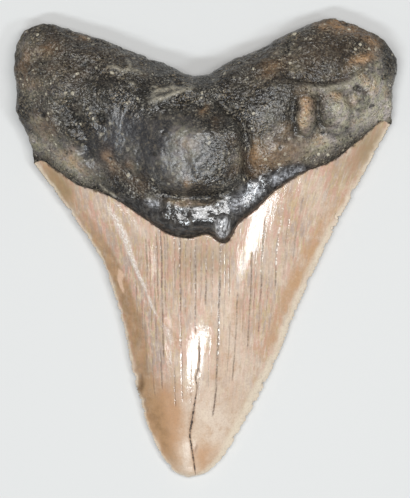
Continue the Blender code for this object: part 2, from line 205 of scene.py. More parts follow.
def crown_sides(y):
    """The x of the left and of the right cutting edge at each y."""
    along = np.linspace(0.0, 1.0, 400)
    left = curve_through(LEFT_EDGE, along)
    right = curve_through(RIGHT_EDGE, along)
    return np.interp(y, left[:, 1], left[:, 0]), np.interp(y, right[:, 1], right[:, 0])


def crown_side(plan):
    """How far across the crown each place is: -1 on the left cutting edge, 1 on the right one."""
    left_x, right_x = crown_sides(plan[..., 1])
    return np.clip(2 * (plan[..., 0] - left_x) / np.maximum(right_x - left_x, 1e-6) - 1, -1.0, 1.0)


def crown_upper(plan):
    """Lingual height: the edge plus the dome times 1 less 1.2 side squared plus 0.2 side to the fourth."""
    q = crown_side(plan)
    y = plan[..., 1]
    return value_at(EDGE_HEIGHT, y) + value_at(CROWN_DOME, y) * (1 - 1.2 * q**2 + 0.2 * q**4)


def crown_lower(plan):
    """Labial height: from the edge down to the belly by 1 less side to the 2.4, and never below 0."""
    q = crown_side(plan)
    y = plan[..., 1]
    edge = value_at(EDGE_HEIGHT, y)
    return np.maximum(edge - (edge - value_at(CROWN_BELLY, y)) * (1 - np.abs(q) ** 2.4), 0.0)


# %% [markdown]
# ## Distances
# Grooves, ridges, borders and rounded rims all ask the same question: how far is each place from a
# line? One helper answers it for every place and every run of the line at once.

# %% Distance from a line
def line_distance(x, y, points):
    """Distance of each place from a line of straight runs, and its share of the way along the line.

    Each place is dropped square onto every run, held between the run's ends, and the nearest wins.
    """
    points = np.asarray(points, dtype=float)
    start, step = points[:-1], np.diff(points, axis=0)
    runs = np.linalg.norm(step, axis=1)
    station = np.concatenate(([0.0], np.cumsum(runs)))
    off_x = np.ravel(x)[:, None] - start[:, 0]
    off_y = np.ravel(y)[:, None] - start[:, 1]
    f = np.clip((off_x * step[:, 0] + off_y * step[:, 1]) / runs**2, 0.0, 1.0)
    distance = np.hypot(off_x - f * step[:, 0], off_y - f * step[:, 1])
    nearest = distance.argmin(axis=1)
    row = np.arange(len(nearest))
    share = (station[nearest] + f[row, nearest] * runs[nearest]) / station[-1]
    return distance[row, nearest].reshape(np.shape(x)), share.reshape(np.shape(x))


def quarter_round(distance, width):
    """0 at the rim, rising as a quarter circle to 1 at the given width inside it."""
    inside = np.clip(distance / width, 0.0, 1.0)
    return np.sqrt(1 - (1 - inside) ** 2)


# %% [markdown]
# ## The root's relief
# The root carries what made the living tooth sit in its gum: a smooth block in the middle, a
# nutrient hole, grooves for vessels, and lumps on the lobes. Each is a small hill or line with its
# own place and size, and they are simply added up.

# %% Features of the lingual root
PROTUBERANCE_HEIGHT = 2.5
PROTUBERANCE_LEFT = (-12.8, 6.0)
PROTUBERANCE_RIGHT = (14.1, 2.3)
PROTUBERANCE_BOTTOM = (69.8, 3.2)
PROTUBERANCE_TOP = (92.5, 7.5)

# Each swelling: x, y, half width, half length, turn in degrees, height.
SWELLINGS = [(8.3, 62.6, 2.8, 4.4, 0.0, 0.2), (28.8, 90.4, 4.0, 6.5, -4.0, 0.7),
             (37.5, 91.5, 6.5, 6.5, 12.0, 1.2),
             (22.6, 81.3, 9.5, 3.6, 12.0, 1.4), (45.4, 94.4, 4.2, 6.0, 0.0, 0.9),
             (-33.5, 98.5, 6.5, 8.5, 20.0, 1.1), (-20.0, 96.0, 5.5, 4.0, -15.0, 0.9),
             (-13.5, 79.5, 3.8, 5.2, 10.0, 0.9), (-27.0, 78.5, 6.0, 3.0, -28.0, 0.9),
             (20.5, 97.5, 5.0, 4.0, 30.0, 1.0), (34.0, 103.5, 6.5, 3.6, 5.0, 0.9),
             (-27.0, 106.0, 7.5, 2.6, -12.0, 0.7)]

# Each crease: the points of its line, half width, height (a groove is below 0).
CREASES = [([(-32.0, 94.5), (-28.5, 90.0), (-25.2, 84.8), (-25.0, 78.5)], 1.7, -1.4),
           ([(5.5, 95.0), (12.8, 88.5), (14.6, 82.5), (14.4, 79.0), (17.6, 72.8)], 1.1, -2.3),
           ([(-11.5, 76.5), (-7.0, 72.0), (-1.8, 69.8), (4.8, 70.2), (13.5, 73.2)], 1.2, -1.8),
           ([(27.5, 96.2), (25.6, 94.0), (25.4, 90.0), (26.4, 85.6), (28.8, 84.6)], 0.8, -0.9),
           ([(31.5, 96.5), (31.8, 91.0), (32.4, 86.0)], 0.7, -0.9),
           ([(39.0, 96.5), (40.2, 91.5), (39.4, 87.0)], 0.7, -0.8),
           ([(20.0, 99.5), (25.8, 97.0), (31.0, 96.2), (39.5, 97.0), (42.9, 100.0),
             (49.3, 104.8)], 1.2, 1.1),
           ([(21.0, 101.0), (27.0, 98.9), (32.0, 98.4), (38.0, 99.2), (42.0, 102.4)], 0.9, -0.8),
           ([(-12.0, 93.0), (-3.0, 95.6), (4.3, 98.4)], 1.3, 1.2),
           ([(0.4, 87.5), (0.8, 82.0), (2.0, 77.0), (2.6, 72.5)], 0.9, 0.3),
           ([(8.6, 86.0), (9.0, 80.0), (9.6, 74.0)], 0.9, 0.25),
           ([(-24.0, 101.8), (-16.0, 101.8), (-9.0, 100.6)], 1.2, 0.7)]

# Each knob, a lump with a sharp foot: x, y, half width, half length, turn in degrees, height.
KNOBS = [(8.3, 62.7, 2.1, 3.1, 0.0, 0.6), (28.8, 90.2, 2.5, 4.9, 3.0, 1.3),
         (36.0, 91.0, 3.9, 5.1, 14.0, 1.5), (42.2, 94.4, 2.2, 2.6, 0.0, 0.7)]

# Each hole: x, y, radius, depth.
LINGUAL_HOLES = [(-21.5, 89.3, 0.9, 2.2), (3.0, 92.3, 1.0, 1.3), (-36.0, 90.5, 0.8, 0.9)]
LABIAL_HOLES = [(-17.0, 96.5, 1.1, 1.4), (23.5, 98.0, 1.0, 1.3), (5.0, 94.5, 1.2, 1.5)]


def turned(x, y, centre_x, centre_y, turn):
    """Offsets from a centre, measured along and square to a line that is turned by some degrees."""
    angle = np.radians(turn)
    off_x, off_y = x - centre_x, y - centre_y
    return off_x * np.cos(angle) + off_y * np.sin(angle), off_y * np.cos(angle) - off_x * np.sin(angle)


def swelling(x, y, feature):
    """A rounded hill: height times (1 - r squared) squared, r being 1 at its elliptic foot."""
    centre_x, centre_y, half_width, half_length, turn, height = feature
    off_x, off_y = turned(x, y, centre_x, centre_y, turn)
    r = np.clip((off_x / half_width) ** 2 + (off_y / half_length) ** 2, 0.0, 1.0)
    return height * (1 - r) ** 2


def knob(x, y, feature):
    """A lump like half an egg: height times 1 - r squared to the power 0.7, so its foot is steep."""
    centre_x, centre_y, half_width, half_length, turn, height = feature
    off_x, off_y = turned(x, y, centre_x, centre_y, turn)
    return height * np.clip(1 - (off_x / half_width) ** 2 - (off_y / half_length) ** 2, 0.0, 1.0) ** 0.7


def protuberance(x, y):
    """The block in the middle of the root: an S-shaped rise from each of four sides, multiplied."""
    rise = PROTUBERANCE_HEIGHT * smooth_step((x - PROTUBERANCE_LEFT[0]) / PROTUBERANCE_LEFT[1])
    rise = rise * smooth_step((PROTUBERANCE_RIGHT[0] - x) / PROTUBERANCE_RIGHT[1])
    rise = rise * smooth_step((y - PROTUBERANCE_BOTTOM[0]) / PROTUBERANCE_BOTTOM[1])
    return rise * smooth_step((PROTUBERANCE_TOP[0] - y) / PROTUBERANCE_TOP[1])


def crease(x, y, feature):
    """A ridge or groove: a bell curve across a line, fading to nothing at both ends."""
    points, half_width, height = feature
    distance, share = line_distance(x, y, points)
    fade = smooth_step(4 * share) * smooth_step(4 * (1 - share))
    return height * fade * np.exp(-((distance / half_width) ** 2))


def holes(x, y, features):
    """Nutrient holes, each a bell-shaped dimple."""
    return sum(-deep * np.exp(-(((x - centre_x) ** 2 + (y - centre_y) ** 2) / radius**2))
               for centre_x, centre_y, radius, deep in features)


# %% [markdown]
# ## Unevenness
# Nothing on a fossil is even, so the soft lumps of the root are scattered with a fixed seed: the
# same lumps come back on every run. For the finer grain we use value noise, a lattice of random
# numbers that is blended smoothly between its points.

# %% Seeded lumps and value noise
LUMP_ACROSS = (-43.0, 51.0)
LUMP_ALONG = (62.0, 114.0)
LUMP_HALF_SIZE = (1.6, 3.6)
LUMP_HEIGHT = 0.45
LUMP_COUNT = 170
LUMP_SEED = 11
LATTICE = 64
lattice_values = np.random.default_rng(5).uniform(-1.0, 1.0, (LATTICE, LATTICE, LATTICE))
TURN = np.array([[2.0, -2.0, 1.0], [1.0, 2.0, 2.0], [-2.0, -1.0, 2.0]]) / 3


def lumps(x, y, seed):
    """Soft lumps and hollows: bell-shaped hills of random place, size and height, added up."""
    draw = np.random.default_rng(seed)
    total = np.zeros(x.shape)
    for _ in range(LUMP_COUNT):
        centre_x = draw.uniform(*LUMP_ACROSS)
        centre_y = draw.uniform(*LUMP_ALONG)
        half_size = draw.uniform(*LUMP_HALF_SIZE)
        height = LUMP_HEIGHT * draw.uniform(-1.0, 1.0)
        total += height * np.exp(-(((x - centre_x) ** 2 + (y - centre_y) ** 2) / half_size**2))
    return total


def value_noise(points, cell):
    """Smooth noise from -1 to 1: each place blends the eight lattice values round it with S curves."""
    place = np.asarray(points) / cell
    corner = np.floor(place).astype(int)
    f = smooth_step(place - corner)
    total = np.zeros(len(place))
    for step in np.ndindex(2, 2, 2):
        weight = np.prod(np.where(step, f, 1 - f), axis=1)
        index = (corner + step) % LATTICE
        total += weight * lattice_values[index[:, 0], index[:, 1], index[:, 2]]
    return total


def rough_noise(points, cell, octaves):
    """Layers of value noise, each with half the cell and half the height of the one before."""
    return sum(value_noise(points @ TURN + 17.3 * layer, cell / 2**layer) / 2**layer
               for layer in range(octaves))


# %% [markdown]
# ## The root's two faces
# From the enamel the lingual root steps up in a rolled lip, the bourlette, climbs to a crest, and
# falls again to its rim. The labial root is nearly flat. Both are blended into the rounded rim by a
# quarter circle, which is how a worn bone edge looks.

# %% Heights of the root
FLANK_HEIGHT = [(0.0, 4.4), (0.35, 6.8), (1.0, 8.0)]
TOP_HEIGHT = [(0.0, 8.0), (0.3, 8.0), (0.47, 10.0), (0.65, 8.4), (1.0, 8.0)]
BORDER_STEP = [(0.0, 0.0), (0.05, 0.5), (0.22, 0.9), (0.34, 1.4), (0.5, 1.4), (0.62, 1.2), (0.8, 0.8),
               (0.95, 0.5), (1.0, 0.0)]
CREST_PLACE = [(0.0, 0.55), (0.18, 0.66), (0.35, 0.72), (0.47, 0.64), (0.62, 0.6), (0.78, 0.53), (1.0, 0.5)]
CREST_HEIGHT = [(0.0, 10.5), (0.12, 15.2), (0.3, 18.8), (0.45, 21.8), (0.6, 20.2), (0.8, 17.6),
                (0.92, 14.6), (1.0, 10.5)]
BASE_HEIGHT = [(0.0, 8.5), (0.15, 11.2), (0.33, 12.8), (0.47, 16.6), (0.6, 14.2), (0.8, 11.4), (1.0, 8.5)]
ROOT_BELLY = [(0.0, 2.5), (0.15, 0.0), (0.3, 0.6), (0.47, 2.2), (0.65, 0.6), (0.85, 0.0), (1.0, 2.5)]
LINGUAL_ROUNDING = 5.5
LABIAL_ROUNDING = 7.0
STEP_WIDTH = [(0.0, 0.5), (0.22, 0.7), (0.34, 2.2), (0.39, 2.7), (0.49, 2.7), (0.54, 1.2), (0.62, 0.8),
              (0.8, 0.6), (1.0, 0.5)]

# The bourlette's roll: height, how far its top is from the border, and half its width, by share.
ROLL_HEIGHT = [(0.0, 0.0), (0.2, 0.2), (0.34, 1.2), (0.46, 1.8), (0.62, 1.6), (0.74, 1.1), (0.84, 0.2),
               (1.0, 0.0)]
ROLL_PLACE = [(0.0, 2.0), (0.33, 2.6), (0.5, 2.9), (0.56, 1.5), (0.75, 1.2), (1.0, 1.2)]
ROLL_HALF_WIDTH = 3.2


def rim_distance(plan):
    """Distance of each place of the root's patch from the rim: left flank, top and right flank."""
    rim = np.concatenate([plan[:-1:2, 0], plan[-1, ::2], plan[-2::-2, -1]])
    return line_distance(plan[..., 0], plan[..., 1], rim)[0]


def rim_height():
    """Height of the root's widest line, carried over the patch from the flanks and the top."""
    flank = value_at(FLANK_HEIGHT, root_up)[:, None]
    return flank + (value_at(TOP_HEIGHT, across)[None] - TOP_HEIGHT[0][1]) * root_up[:, None] ** 2


def root_relief(x, y):
    """Everything that stands proud of the root's smooth lingual form, or is sunk in it."""
    relief = protuberance(x, y) + lumps(x, y, LUMP_SEED) + holes(x, y, LINGUAL_HOLES)
    relief = relief + sum(swelling(x, y, feature) for feature in SWELLINGS)
    relief = relief + sum(knob(x, y, feature) for feature in KNOBS)
    return relief + sum(crease(x, y, feature) for feature in CREASES)


def root_upper(plan):
    """Lingual height: border plus step, a climb to the crest, a fall to the base, then the relief."""
    border = crown_upper(plan[:1])
    step = value_at(BORDER_STEP, across)
    crest_place = value_at(CREST_PLACE, across)[None]
    crest = value_at(CREST_HEIGHT, across)[None]
    base = value_at(BASE_HEIGHT, across)[None]
    w = root_up[:, None]
    climb = 1 - (1 - np.clip(w / crest_place, 0.0, 1.0)) ** 1.8
    fall = np.clip((w - crest_place) / (1 - crest_place), 0.0, 1.0) ** 1.2
    away = line_distance(plan[..., 0], plan[..., 1], plan[0, ::2])[0]
    body = border + step + (crest - border - step) * climb - (crest - base) * fall
    body = body + root_relief(plan[..., 0], plan[..., 1])
    from_roll = (away - value_at(ROLL_PLACE, across)) / ROLL_HALF_WIDTH
    body = body + value_at(ROLL_HEIGHT, across) * np.exp(-(from_roll**2))
    rim = rim_height()
    rounded = rim + (body - rim) * quarter_round(rim_distance(plan), LINGUAL_ROUNDING)
    return border + (rounded - border) * quarter_round(away, value_at(STEP_WIDTH, across))


def root_lower(plan):
    """Labial height: from the border to the belly by an S curve, with lumps and holes, then the rim."""
    border = crown_lower(plan[:1])
    belly = value_at(ROOT_BELLY, across)[None]
    w = root_up[:, None]
    x, y = plan[..., 0], plan[..., 1]
    body = border + (belly - border) * smooth_step(w / 0.5) + 0.6 * lumps(x, y, LUMP_SEED + 1)
    body = body - holes(x, y, LABIAL_HOLES)
    rim = rim_height()
    rounded = rim + (body - rim) * quarter_round(rim_distance(plan), LABIAL_ROUNDING)
    return np.maximum(border + (rounded - border) * smooth_step(w / 0.2), 0.0)


# %% [markdown]
# ## The two sheets
# Now both faces are worked out on the whole grid, the crown's rows first and the root's rows on
# top of them. The crown's last row is the root's first row.

# %% Work out both sheets
def sheet(border, crown_height, root_height):
    """One face as a grid of (x, y, z): rows from the tip to the top of the root."""
    crown = crown_plan(border)
    root = root_plan(border)
    height = np.concatenate([crown_height(crown), root_height(root)[1:]])
    return np.concatenate([np.concatenate([crown, root[1:]]), height[..., None]], axis=-1)


lingual = sheet(LINGUAL_BORDER, crown_upper, root_upper)
labial = sheet(labial_border(), crown_lower, root_lower)
BORDER_ROW = len(crown_up) - 1
print("grid", lingual.shape, "highest point", round(float(lingual[..., 2].max()), 2), "mm")

# %% [markdown]
# ## Serrations and chips
# The cutting edges carry fine rounded serrations, about twelve to the centimetre, worn unevenly.
# They are cut as real shape: each takes four fine rows, and the points near the edge are moved
# inwards by a scalloped profile that fades over the margin columns. Larger chips pull a round patch
# of the edge inwards.

# %% Cut the edges
SERRATION_DEPTH = 0.42
SCALLOP = np.array([1.0, 0.35, 0.0, 0.35])
MARGIN_SHARE = 0.55

# Each chip: x, y, radius, depth.
EDGE_CHIPS = [(21.2, 29.0, 1.3, 0.4), (19.0, 23.8, 1.0, 0.7), (17.8, 21.5, 0.8, 0.4),
              (16.5, 18.8, 0.9, 0.6), (14.8, 15.3, 0.9, 0.5), (13.5, 12.8, 0.8, 0.4),
              (11.8, 10.3, 1.0, 0.6), (9.5, 7.0, 0.9, 0.4), (37.3, 65.5, 1.1, 1.0),
              (36.2, 62.6, 1.0, 0.5), (30.2, 49.5, 1.2, 0.5), (-13.2, 25.6, 1.6, 0.6),
              (-11.8, 19.5, 1.2, 0.6), (-11.2, 17.0, 1.0, 0.5), (-22.0, 54.5, 1.3, 0.4),
              (-17.4, 41.5, 1.2, 0.4), (41.5, 72.0, 1.2, 0.5)]

# Small nicks are strewn along both edges: how many on each, and the least and most of each measure.
NICKS = 34
NICK_RADIUS = (0.5, 1.1)
NICK_DEPTH = (0.1, 0.38)
NICK_SEED = 23


def nicks(edge, draw):
    """Seeded chips along one cutting edge, in the same form as the list above."""
    places = curve_through(edge, draw.uniform(0.05, 0.97, NICKS))
    return [(x, y, draw.uniform(*NICK_RADIUS), draw.uniform(*NICK_DEPTH)) for x, y in places]


def edge_moves(grid, side):
    """How far each crown point moves inwards: the scallop times a fade over the margin columns.

    The side is 1 for the left cutting edge and -1 for the right one. Depth is held under a share of
    the margin's own width, so that no two columns cross near the tip.
    """
    rows = np.arange(BORDER_ROW + 1)
    noise_place = np.stack([rows * 0.11, rows * 0.0 + 9.0 * side, rows * 0.0], axis=1)
    wear = 0.62 + 0.38 * value_noise(noise_place, 1.0)
    from_edge = grid if side > 0 else grid[:, ::-1]
    strip = from_edge[: BORDER_ROW + 1, : MARGIN_COLUMNS + 1]
    width = np.linalg.norm(strip[:, -1, :2] - strip[:, 0, :2], axis=1)
    depth = np.minimum(SERRATION_DEPTH * wear, MARGIN_SHARE * width) * SCALLOP[rows % FINE_ROWS]
    fade = smooth_step(1 - np.arange(MARGIN_COLUMNS + 1) / MARGIN_COLUMNS)
    return depth[:, None] * fade[None, :]


def cut_edges(grid):
    """The grid with serrated and chipped cutting edges."""
    grid = grid.copy()
    rows = slice(0, BORDER_ROW)
    inside = slice(0, MARGIN_COLUMNS + 1)
    grid[rows, inside, 0] += edge_moves(grid, 1)[:-1]
    grid[rows, ::-1, 0][:, inside] -= edge_moves(grid, -1)[:-1]
    crown = grid[rows]
    inwards = np.where(across < 0.5, 1.0, -1.0)[None]
    for chip_x, chip_y, radius, depth in all_chips:
        r = np.hypot(crown[..., 0] - chip_x, crown[..., 1] - chip_y) / radius
        crown[..., 0] += inwards * depth * np.clip(1 - r**2, 0.0, 1.0) ** 2
    return grid


nick_draw = np.random.default_rng(NICK_SEED)
all_chips = EDGE_CHIPS + nicks(LEFT_EDGE, nick_draw) + nicks(RIGHT_EDGE, nick_draw)
lingual_cut = cut_edges(lingual)
labial_cut = cut_edges(labial)
labial_cut[:BORDER_ROW, 0] = lingual_cut[:BORDER_ROW, 0]
labial_cut[:BORDER_ROW, -1] = lingual_cut[:BORDER_ROW, -1]
left_side = float(np.linalg.norm(lingual[BORDER_ROW, 0] - lingual[0, 0]))
print("serration pitch", round(left_side / SERRATIONS, 2), "mm")

# %% [markdown]
# ## Joining the sheets
# Points on the rim are shared by both sheets, which closes the skin, and the whole first row is one
# point, the tip. Where fine margin rows meet coarse inner rows, each coarse cell is joined by a fan
# of triangles, so that no gap opens. The other cells are cut along their shorter diagonal.

# %% Number the points
rows_in_all = lingual.shape[0]
upper_index = np.arange(lingual.size // 3).reshape(lingual.shape[:2])
own = np.zeros(upper_index.shape, dtype=bool)
own[1:-1, 1:-1] = True
lower_index = upper_index.copy()
lower_index[own] = upper_index.size + np.arange(own.sum())
upper_index[0] = 0
lower_index[0] = 0
points = np.concatenate([lingual_cut.reshape(-1, 3), labial_cut[own]])


# %% [markdown]
# ## Triangles
# A triangle is three point numbers. Working on whole blocks of the grid at once makes all of them
# in a few steps, with no loop over the points.

# %% Triangles
def cell_triangles(index, rows, columns):
    """Two triangles for each cell between the given rows and columns, cut on the shorter diagonal."""
    grid = index[np.ix_(rows, columns)]
    a, b, c, d = grid[:-1, :-1], grid[:-1, 1:], grid[1:, 1:], grid[1:, :-1]
    rising = np.linalg.norm(points[a] - points[c], axis=-1) < np.linalg.norm(points[b] - points[d], axis=-1)
    if rows[-1] == rows_in_all - 1:
        rising[-1, 0] = False
        rising[-1, -1] = True
    first = np.stack([a, b, np.where(rising, c, d)], axis=-1)
    second = np.stack([np.where(rising, a, b), c, d], axis=-1)
    return np.stack([first, second], axis=2).reshape(-1, 3)


def stitch_triangles(index, fine_column, coarse_column):
    """Fans that join each coarse cell's one inner side to the fine rows on its other side."""
    fine = index[: BORDER_ROW + 1, fine_column]
    coarse = index[: BORDER_ROW + 1, coarse_column][::FINE_ROWS]
    middle = FINE_ROWS // 2
    parts = []
    for step in range(FINE_ROWS):
        target = coarse[:-1] if step < middle else coarse[1:]
        parts.append(np.stack([fine[step:-1:FINE_ROWS], target, fine[step + 1::FINE_ROWS]], axis=-1))
    parts.append(np.stack([fine[middle:-1:FINE_ROWS], coarse[:-1], coarse[1:]], axis=-1))
    triangles = np.concatenate(parts)
    return triangles if coarse_column > fine_column else triangles[:, ::-1]


def sheet_triangles(index):
    """All triangles of one sheet, facing up, and whether each one is on the root."""
    fine = np.arange(BORDER_ROW + 1)
    margin = np.arange(MARGIN_COLUMNS + 1)
    inner = np.arange(MARGIN_COLUMNS + 1, COLUMNS - MARGIN_COLUMNS)
    right = COLUMNS - MARGIN_COLUMNS
    crown = np.concatenate([cell_triangles(index, fine, margin),
                            cell_triangles(index, fine, margin + right),
                            cell_triangles(index, fine[::FINE_ROWS], inner),
                            stitch_triangles(index, MARGIN_COLUMNS, MARGIN_COLUMNS + 1),
                            stitch_triangles(index, right, right - 1)])
    root = cell_triangles(index, np.arange(BORDER_ROW, rows_in_all), np.arange(COLUMNS + 1))
    return np.concatenate([crown, root]), np.repeat([0, 1], [len(crown), len(root)])


upper_faces, upper_root = sheet_triangles(upper_index)
lower_faces, lower_root = sheet_triangles(lower_index)
faces = np.concatenate([upper_faces, lower_faces[:, ::-1]])
is_root = np.concatenate([upper_root, lower_root])
is_lingual = np.repeat([1, 0], [len(upper_faces), len(lower_faces)])
real = (faces[:, 0] != faces[:, 1]) & (faces[:, 1] != faces[:, 2]) & (faces[:, 2] != faces[:, 0])
faces, is_root, is_lingual = faces[real], is_root[real], is_lingual[real]
print("triangles", len(faces))

# %% [markdown]
# ## What each point knows
# Both the fine relief and the finishes depend on where a point is: how far across and along, how
# far from the enamel's border, how far from the cutting edge, and on which face. These are worked
# out once on the grids and carried on the mesh as attributes.

# %% Coordinates carried by each point
def on_points(upper, lower):
    """One value for every point, from a grid over the lingual sheet and one over the labial sheet."""
    return np.concatenate([np.broadcast_to(upper, own.shape).ravel(),
                           np.broadcast_to(lower, own.shape)[own]])


def border_distance(grid, border):
    """Signed distance from the border: above 0 on the root, below 0 on the enamel."""
    line = line_at(border, np.linspace(0.0, 1.0, 61))
    distance = line_distance(grid[..., 0], grid[..., 1], line)[0]
    return np.where(np.arange(rows_in_all)[:, None] < BORDER_ROW, -distance, distance)


def edge_distance(grid):
    """Distance from the nearer cutting edge, seen from above, on the crown's rows."""
    along = np.linspace(0.0, 1.0, 61)
    left = line_distance(grid[..., 0], grid[..., 1], curve_through(LEFT_EDGE, along))[0]
    right = line_distance(grid[..., 0], grid[..., 1], curve_through(RIGHT_EDGE, along))[0]
    return left, right


across_point = on_points(across[None], across[None])
lingual_point = on_points(1.0, 0.0)
border_point = on_points(border_distance(lingual, LINGUAL_BORDER), border_distance(labial, labial_border()))
upper_left, upper_right = edge_distance(lingual)
lower_left, lower_right = edge_distance(labial)
left_point = on_points(upper_left, lower_left)
right_point = on_points(upper_right, lower_right)
edge_point = np.minimum(left_point, right_point)
root_point = smooth_step((border_point + 0.2) / 0.6)

# How far the streaks of the enamel have spread at each y, as a share of their spread at the border.
SPREAD = [(0.0, 0.1), (2.0, 0.2), (5.0, 0.4), (16.0, 0.76), (30.0, 0.90), (45.0, 0.96), (60.0, 1.0),
          (75.0, 1.12), (90.0, 1.3)]
flow_point = points[:, 0] / value_at(SPREAD, points[:, 1])
rise_point = points[:, 1]

# %% [markdown]
# ## The long crack
# One open crack runs up the middle of the crown from the tip. Its path is drawn through given
# points, and each point keeps its sideways offset from it, measured in half widths of the crack. An
# offset changes evenly from point to point, so the finish can draw a line that is finer than the mesh.

# %% The crack's path and the offset from it
CRACK = [(1.6, 1.0), (1.2, 4.1), (0.9, 6.0), (0.5, 8.5), (0.2, 10.9), (0.6, 13.9), (0.9, 15.75),
         (1.2, 17.75), (1.6, 20.1), (2.0, 23.4), (1.7, 25.25), (2.3, 27.5), (2.6, 31.5), (2.3, 35.0)]
CRACK_HALF_WIDTH = [(1.0, 0.07), (3.0, 0.12), (8.0, 0.16), (12.0, 0.17), (14.5, 0.26), (17.0, 0.17),
                    (19.5, 0.12), (28.0, 0.09), (35.0, 0.05)]
CRACK_DEPTH = 0.2
crack_x = value_at([(y, x) for x, y in CRACK], points[:, 1])
crack_half = value_at(CRACK_HALF_WIDTH, points[:, 1])
crack_reach = smooth_step((35.5 - points[:, 1]) / 3.0) * smooth_step((points[:, 1] - 0.6) / 1.0)
crack_reach = crack_reach * lingual_point
crack_offset = np.clip((points[:, 0] - crack_x) / np.maximum(crack_half * crack_reach, 0.02), -40.0, 40.0)
crack_offset = np.where(crack_reach > 0.05, crack_offset, 40.0)
crack_groove = CRACK_DEPTH * crack_reach * np.exp(-(((points[:, 0] - crack_x) / (1.3 * crack_half)) ** 2))


# A beaded scar ridge crosses the streaks on the left flank, and its pale beads are a painted highlight.
# Each row: y, x, half width, strength.
SCAR_AND_HIGHLIGHT = np.array([(31.0, -3.4, 0.7, 0.0), (34.3, -4.3, 0.7, 0.4), (37.5, -5.5, 0.7, 0.6),
                 (39.5, -7.2, 0.4, 0.1), (42.9, -9.2, 0.35, 0.8), (44.7, -9.8, 0.35, 0.8),
                 (46.5, -10.5, 0.3, 0.25), (49.4, -11.8, 0.4, 0.9), (51.6, -12.9, 0.45, 0.9),
                 (55.0, -14.2, 0.55, 1.0), (57.7, -15.0, 0.7, 1.0), (60.3, -16.1, 0.85, 1.0),
                 (64.6, -17.9, 0.9, 0.9), (68.0, -20.5, 0.8, 0.3), (71.0, -23.0, 0.6, 0.0)])
scar_side = (points[:, 0] - np.interp(points[:, 1], SCAR_AND_HIGHLIGHT[:, 0], SCAR_AND_HIGHLIGHT[:, 1])) * 0.9
scar_side = np.clip(scar_side / (1.6 * np.interp(points[:, 1], SCAR_AND_HIGHLIGHT[:, 0], SCAR_AND_HIGHLIGHT[:, 2])), -8.0, 8.0)
scar_and_highlight_point = np.interp(points[:, 1], SCAR_AND_HIGHLIGHT[:, 0], SCAR_AND_HIGHLIGHT[:, 3]) * lingual_point * (1 - root_point)

# %% [markdown]
# ## Fine relief
# The points are moved a little along their normals: lumps, pits and grit on the root, wrinkles on
# the bourlette, and shallow flutes along the enamel. Moving along the normal keeps the rim closed,
# because a shared point has one normal.

# %% Normals
def point_normals(places, triangles):
    """Unit normals of the points: the sum of the normals of the faces round each, by their area."""
    corners = places[triangles]
    face_normal = np.cross(corners[:, 1] - corners[:, 0], corners[:, 2] - corners[:, 0])
    total = np.zeros(places.shape)
    for axis in range(3):
        for corner in range(3):
            total[:, axis] += np.bincount(triangles[:, corner], face_normal[:, axis], len(places))
    return total / np.maximum(np.linalg.norm(total, axis=1, keepdims=True), 1e-12)


# %% [markdown]
# ## Soft patches
# Polish, stains, painted shade and painted highlights have no sharp border. A bell-shaped spot that is
# stretched and turned stands for each, and a list of them makes a mask. One helper serves them all.

# %% Soft patches
def patches(x, y, spots):
    """The sum of soft spots: strength times e to the minus r squared, r being 1 at the half size."""
    total = np.zeros(x.shape)
    for centre_x, centre_y, half_width, half_length, turn, strength in spots:
        off_x, off_y = turned(x, y, centre_x, centre_y, turn)
        total += strength * np.exp(-((off_x / half_width) ** 2 + (off_y / half_length) ** 2))
    return np.clip(total, 0.0, 1.0)


# %% [markdown]
# ## Moving the points
# The fine relief is real shape, so it shows at the rim and in every light. Each kind of tissue gets
# its own mix of noise, and rubbed places keep less of the coarse kind.

# %% Move the points
# Each polished patch: x, y, half width, half length, turn in degrees, strength.
BLOCK = [(0.5, 82.5, 12.5, 11.0, 0.0, 1.2)]
POLISH = [(-2.5, 81.0, 10.0, 10.5, 0.0, 1.2), (-26.0, 79.0, 8.0, 4.5, -30.0, 0.7),
          (26.0, 82.5, 11.0, 5.0, 20.0, 0.7), (-17.0, 85.5, 9.0, 7.5, 0.0, 1.0),
          (19.0, 92.0, 7.0, 6.0, 0.0, 0.5), (43.0, 92.0, 7.0, 9.0, 10.0, 0.5),
          (-37.0, 88.0, 5.0, 8.0, 0.0, 0.4)]
LUMP_CELL = 5.0
LUMP_RELIEF = 0.32
GRIT_CELL = 1.5
GRIT_RELIEF = 0.24
PIT_CELL = 1.8
PIT_DEPTH = 0.3
WRINKLE_RELIEF = 0.16
FLUTE_RELIEF = 0.022
DENT_RELIEF = 0.13

BOURLETTE_WIDTH = [(0.0, -2.0), (0.2, -0.5), (0.28, 2.2), (0.38, 6.6), (0.5, 7.2), (0.58, 6.6),
                   (0.66, 4.6), (0.74, 2.6), (0.8, -0.5), (1.0, -2.0)]
NUB = [(8.3, 62.7, 2.1, 3.2, 0.0, 1.0)]
nub_point = smooth_step(4 * patches(points[:, 0], points[:, 1], NUB) - 1.4) * lingual_point
inside_bourlette = (value_at(BOURLETTE_WIDTH, across_point) - border_point) / 1.4 + 0.5
bourlette_point = smooth_step(inside_bourlette) * root_point
bourlette_point = bourlette_point * lingual_point * (1 - nub_point)
bone = root_point * (1 - bourlette_point)
lump_relief = rough_noise(points, LUMP_CELL, 2)
grit_relief = rough_noise(points + 40.0, GRIT_CELL, 2)
pit_relief = smooth_step((rough_noise(points + 70.0, PIT_CELL, 2) - 0.62) / 0.4)
wrinkle_relief = rough_noise(points * (1.0, 0.6, 0.6) + 90.0, 1.15, 2)
dent_relief = rough_noise(points + 12.0, 2.6, 1)
dent_relief = dent_relief + 0.3 * rough_noise(points * (1.0, 0.35, 1.0) + 3.0, 0.95, 1)
flute_place = np.stack([flow_point / 1.3, rise_point / 30.0, lingual_point * 9.0], axis=1)
flute_relief = rough_noise(flute_place, 1.0, 2)
polish_point = patches(points[:, 0], points[:, 1], POLISH) * lingual_point
coarse_share = 1 - 0.65 * polish_point
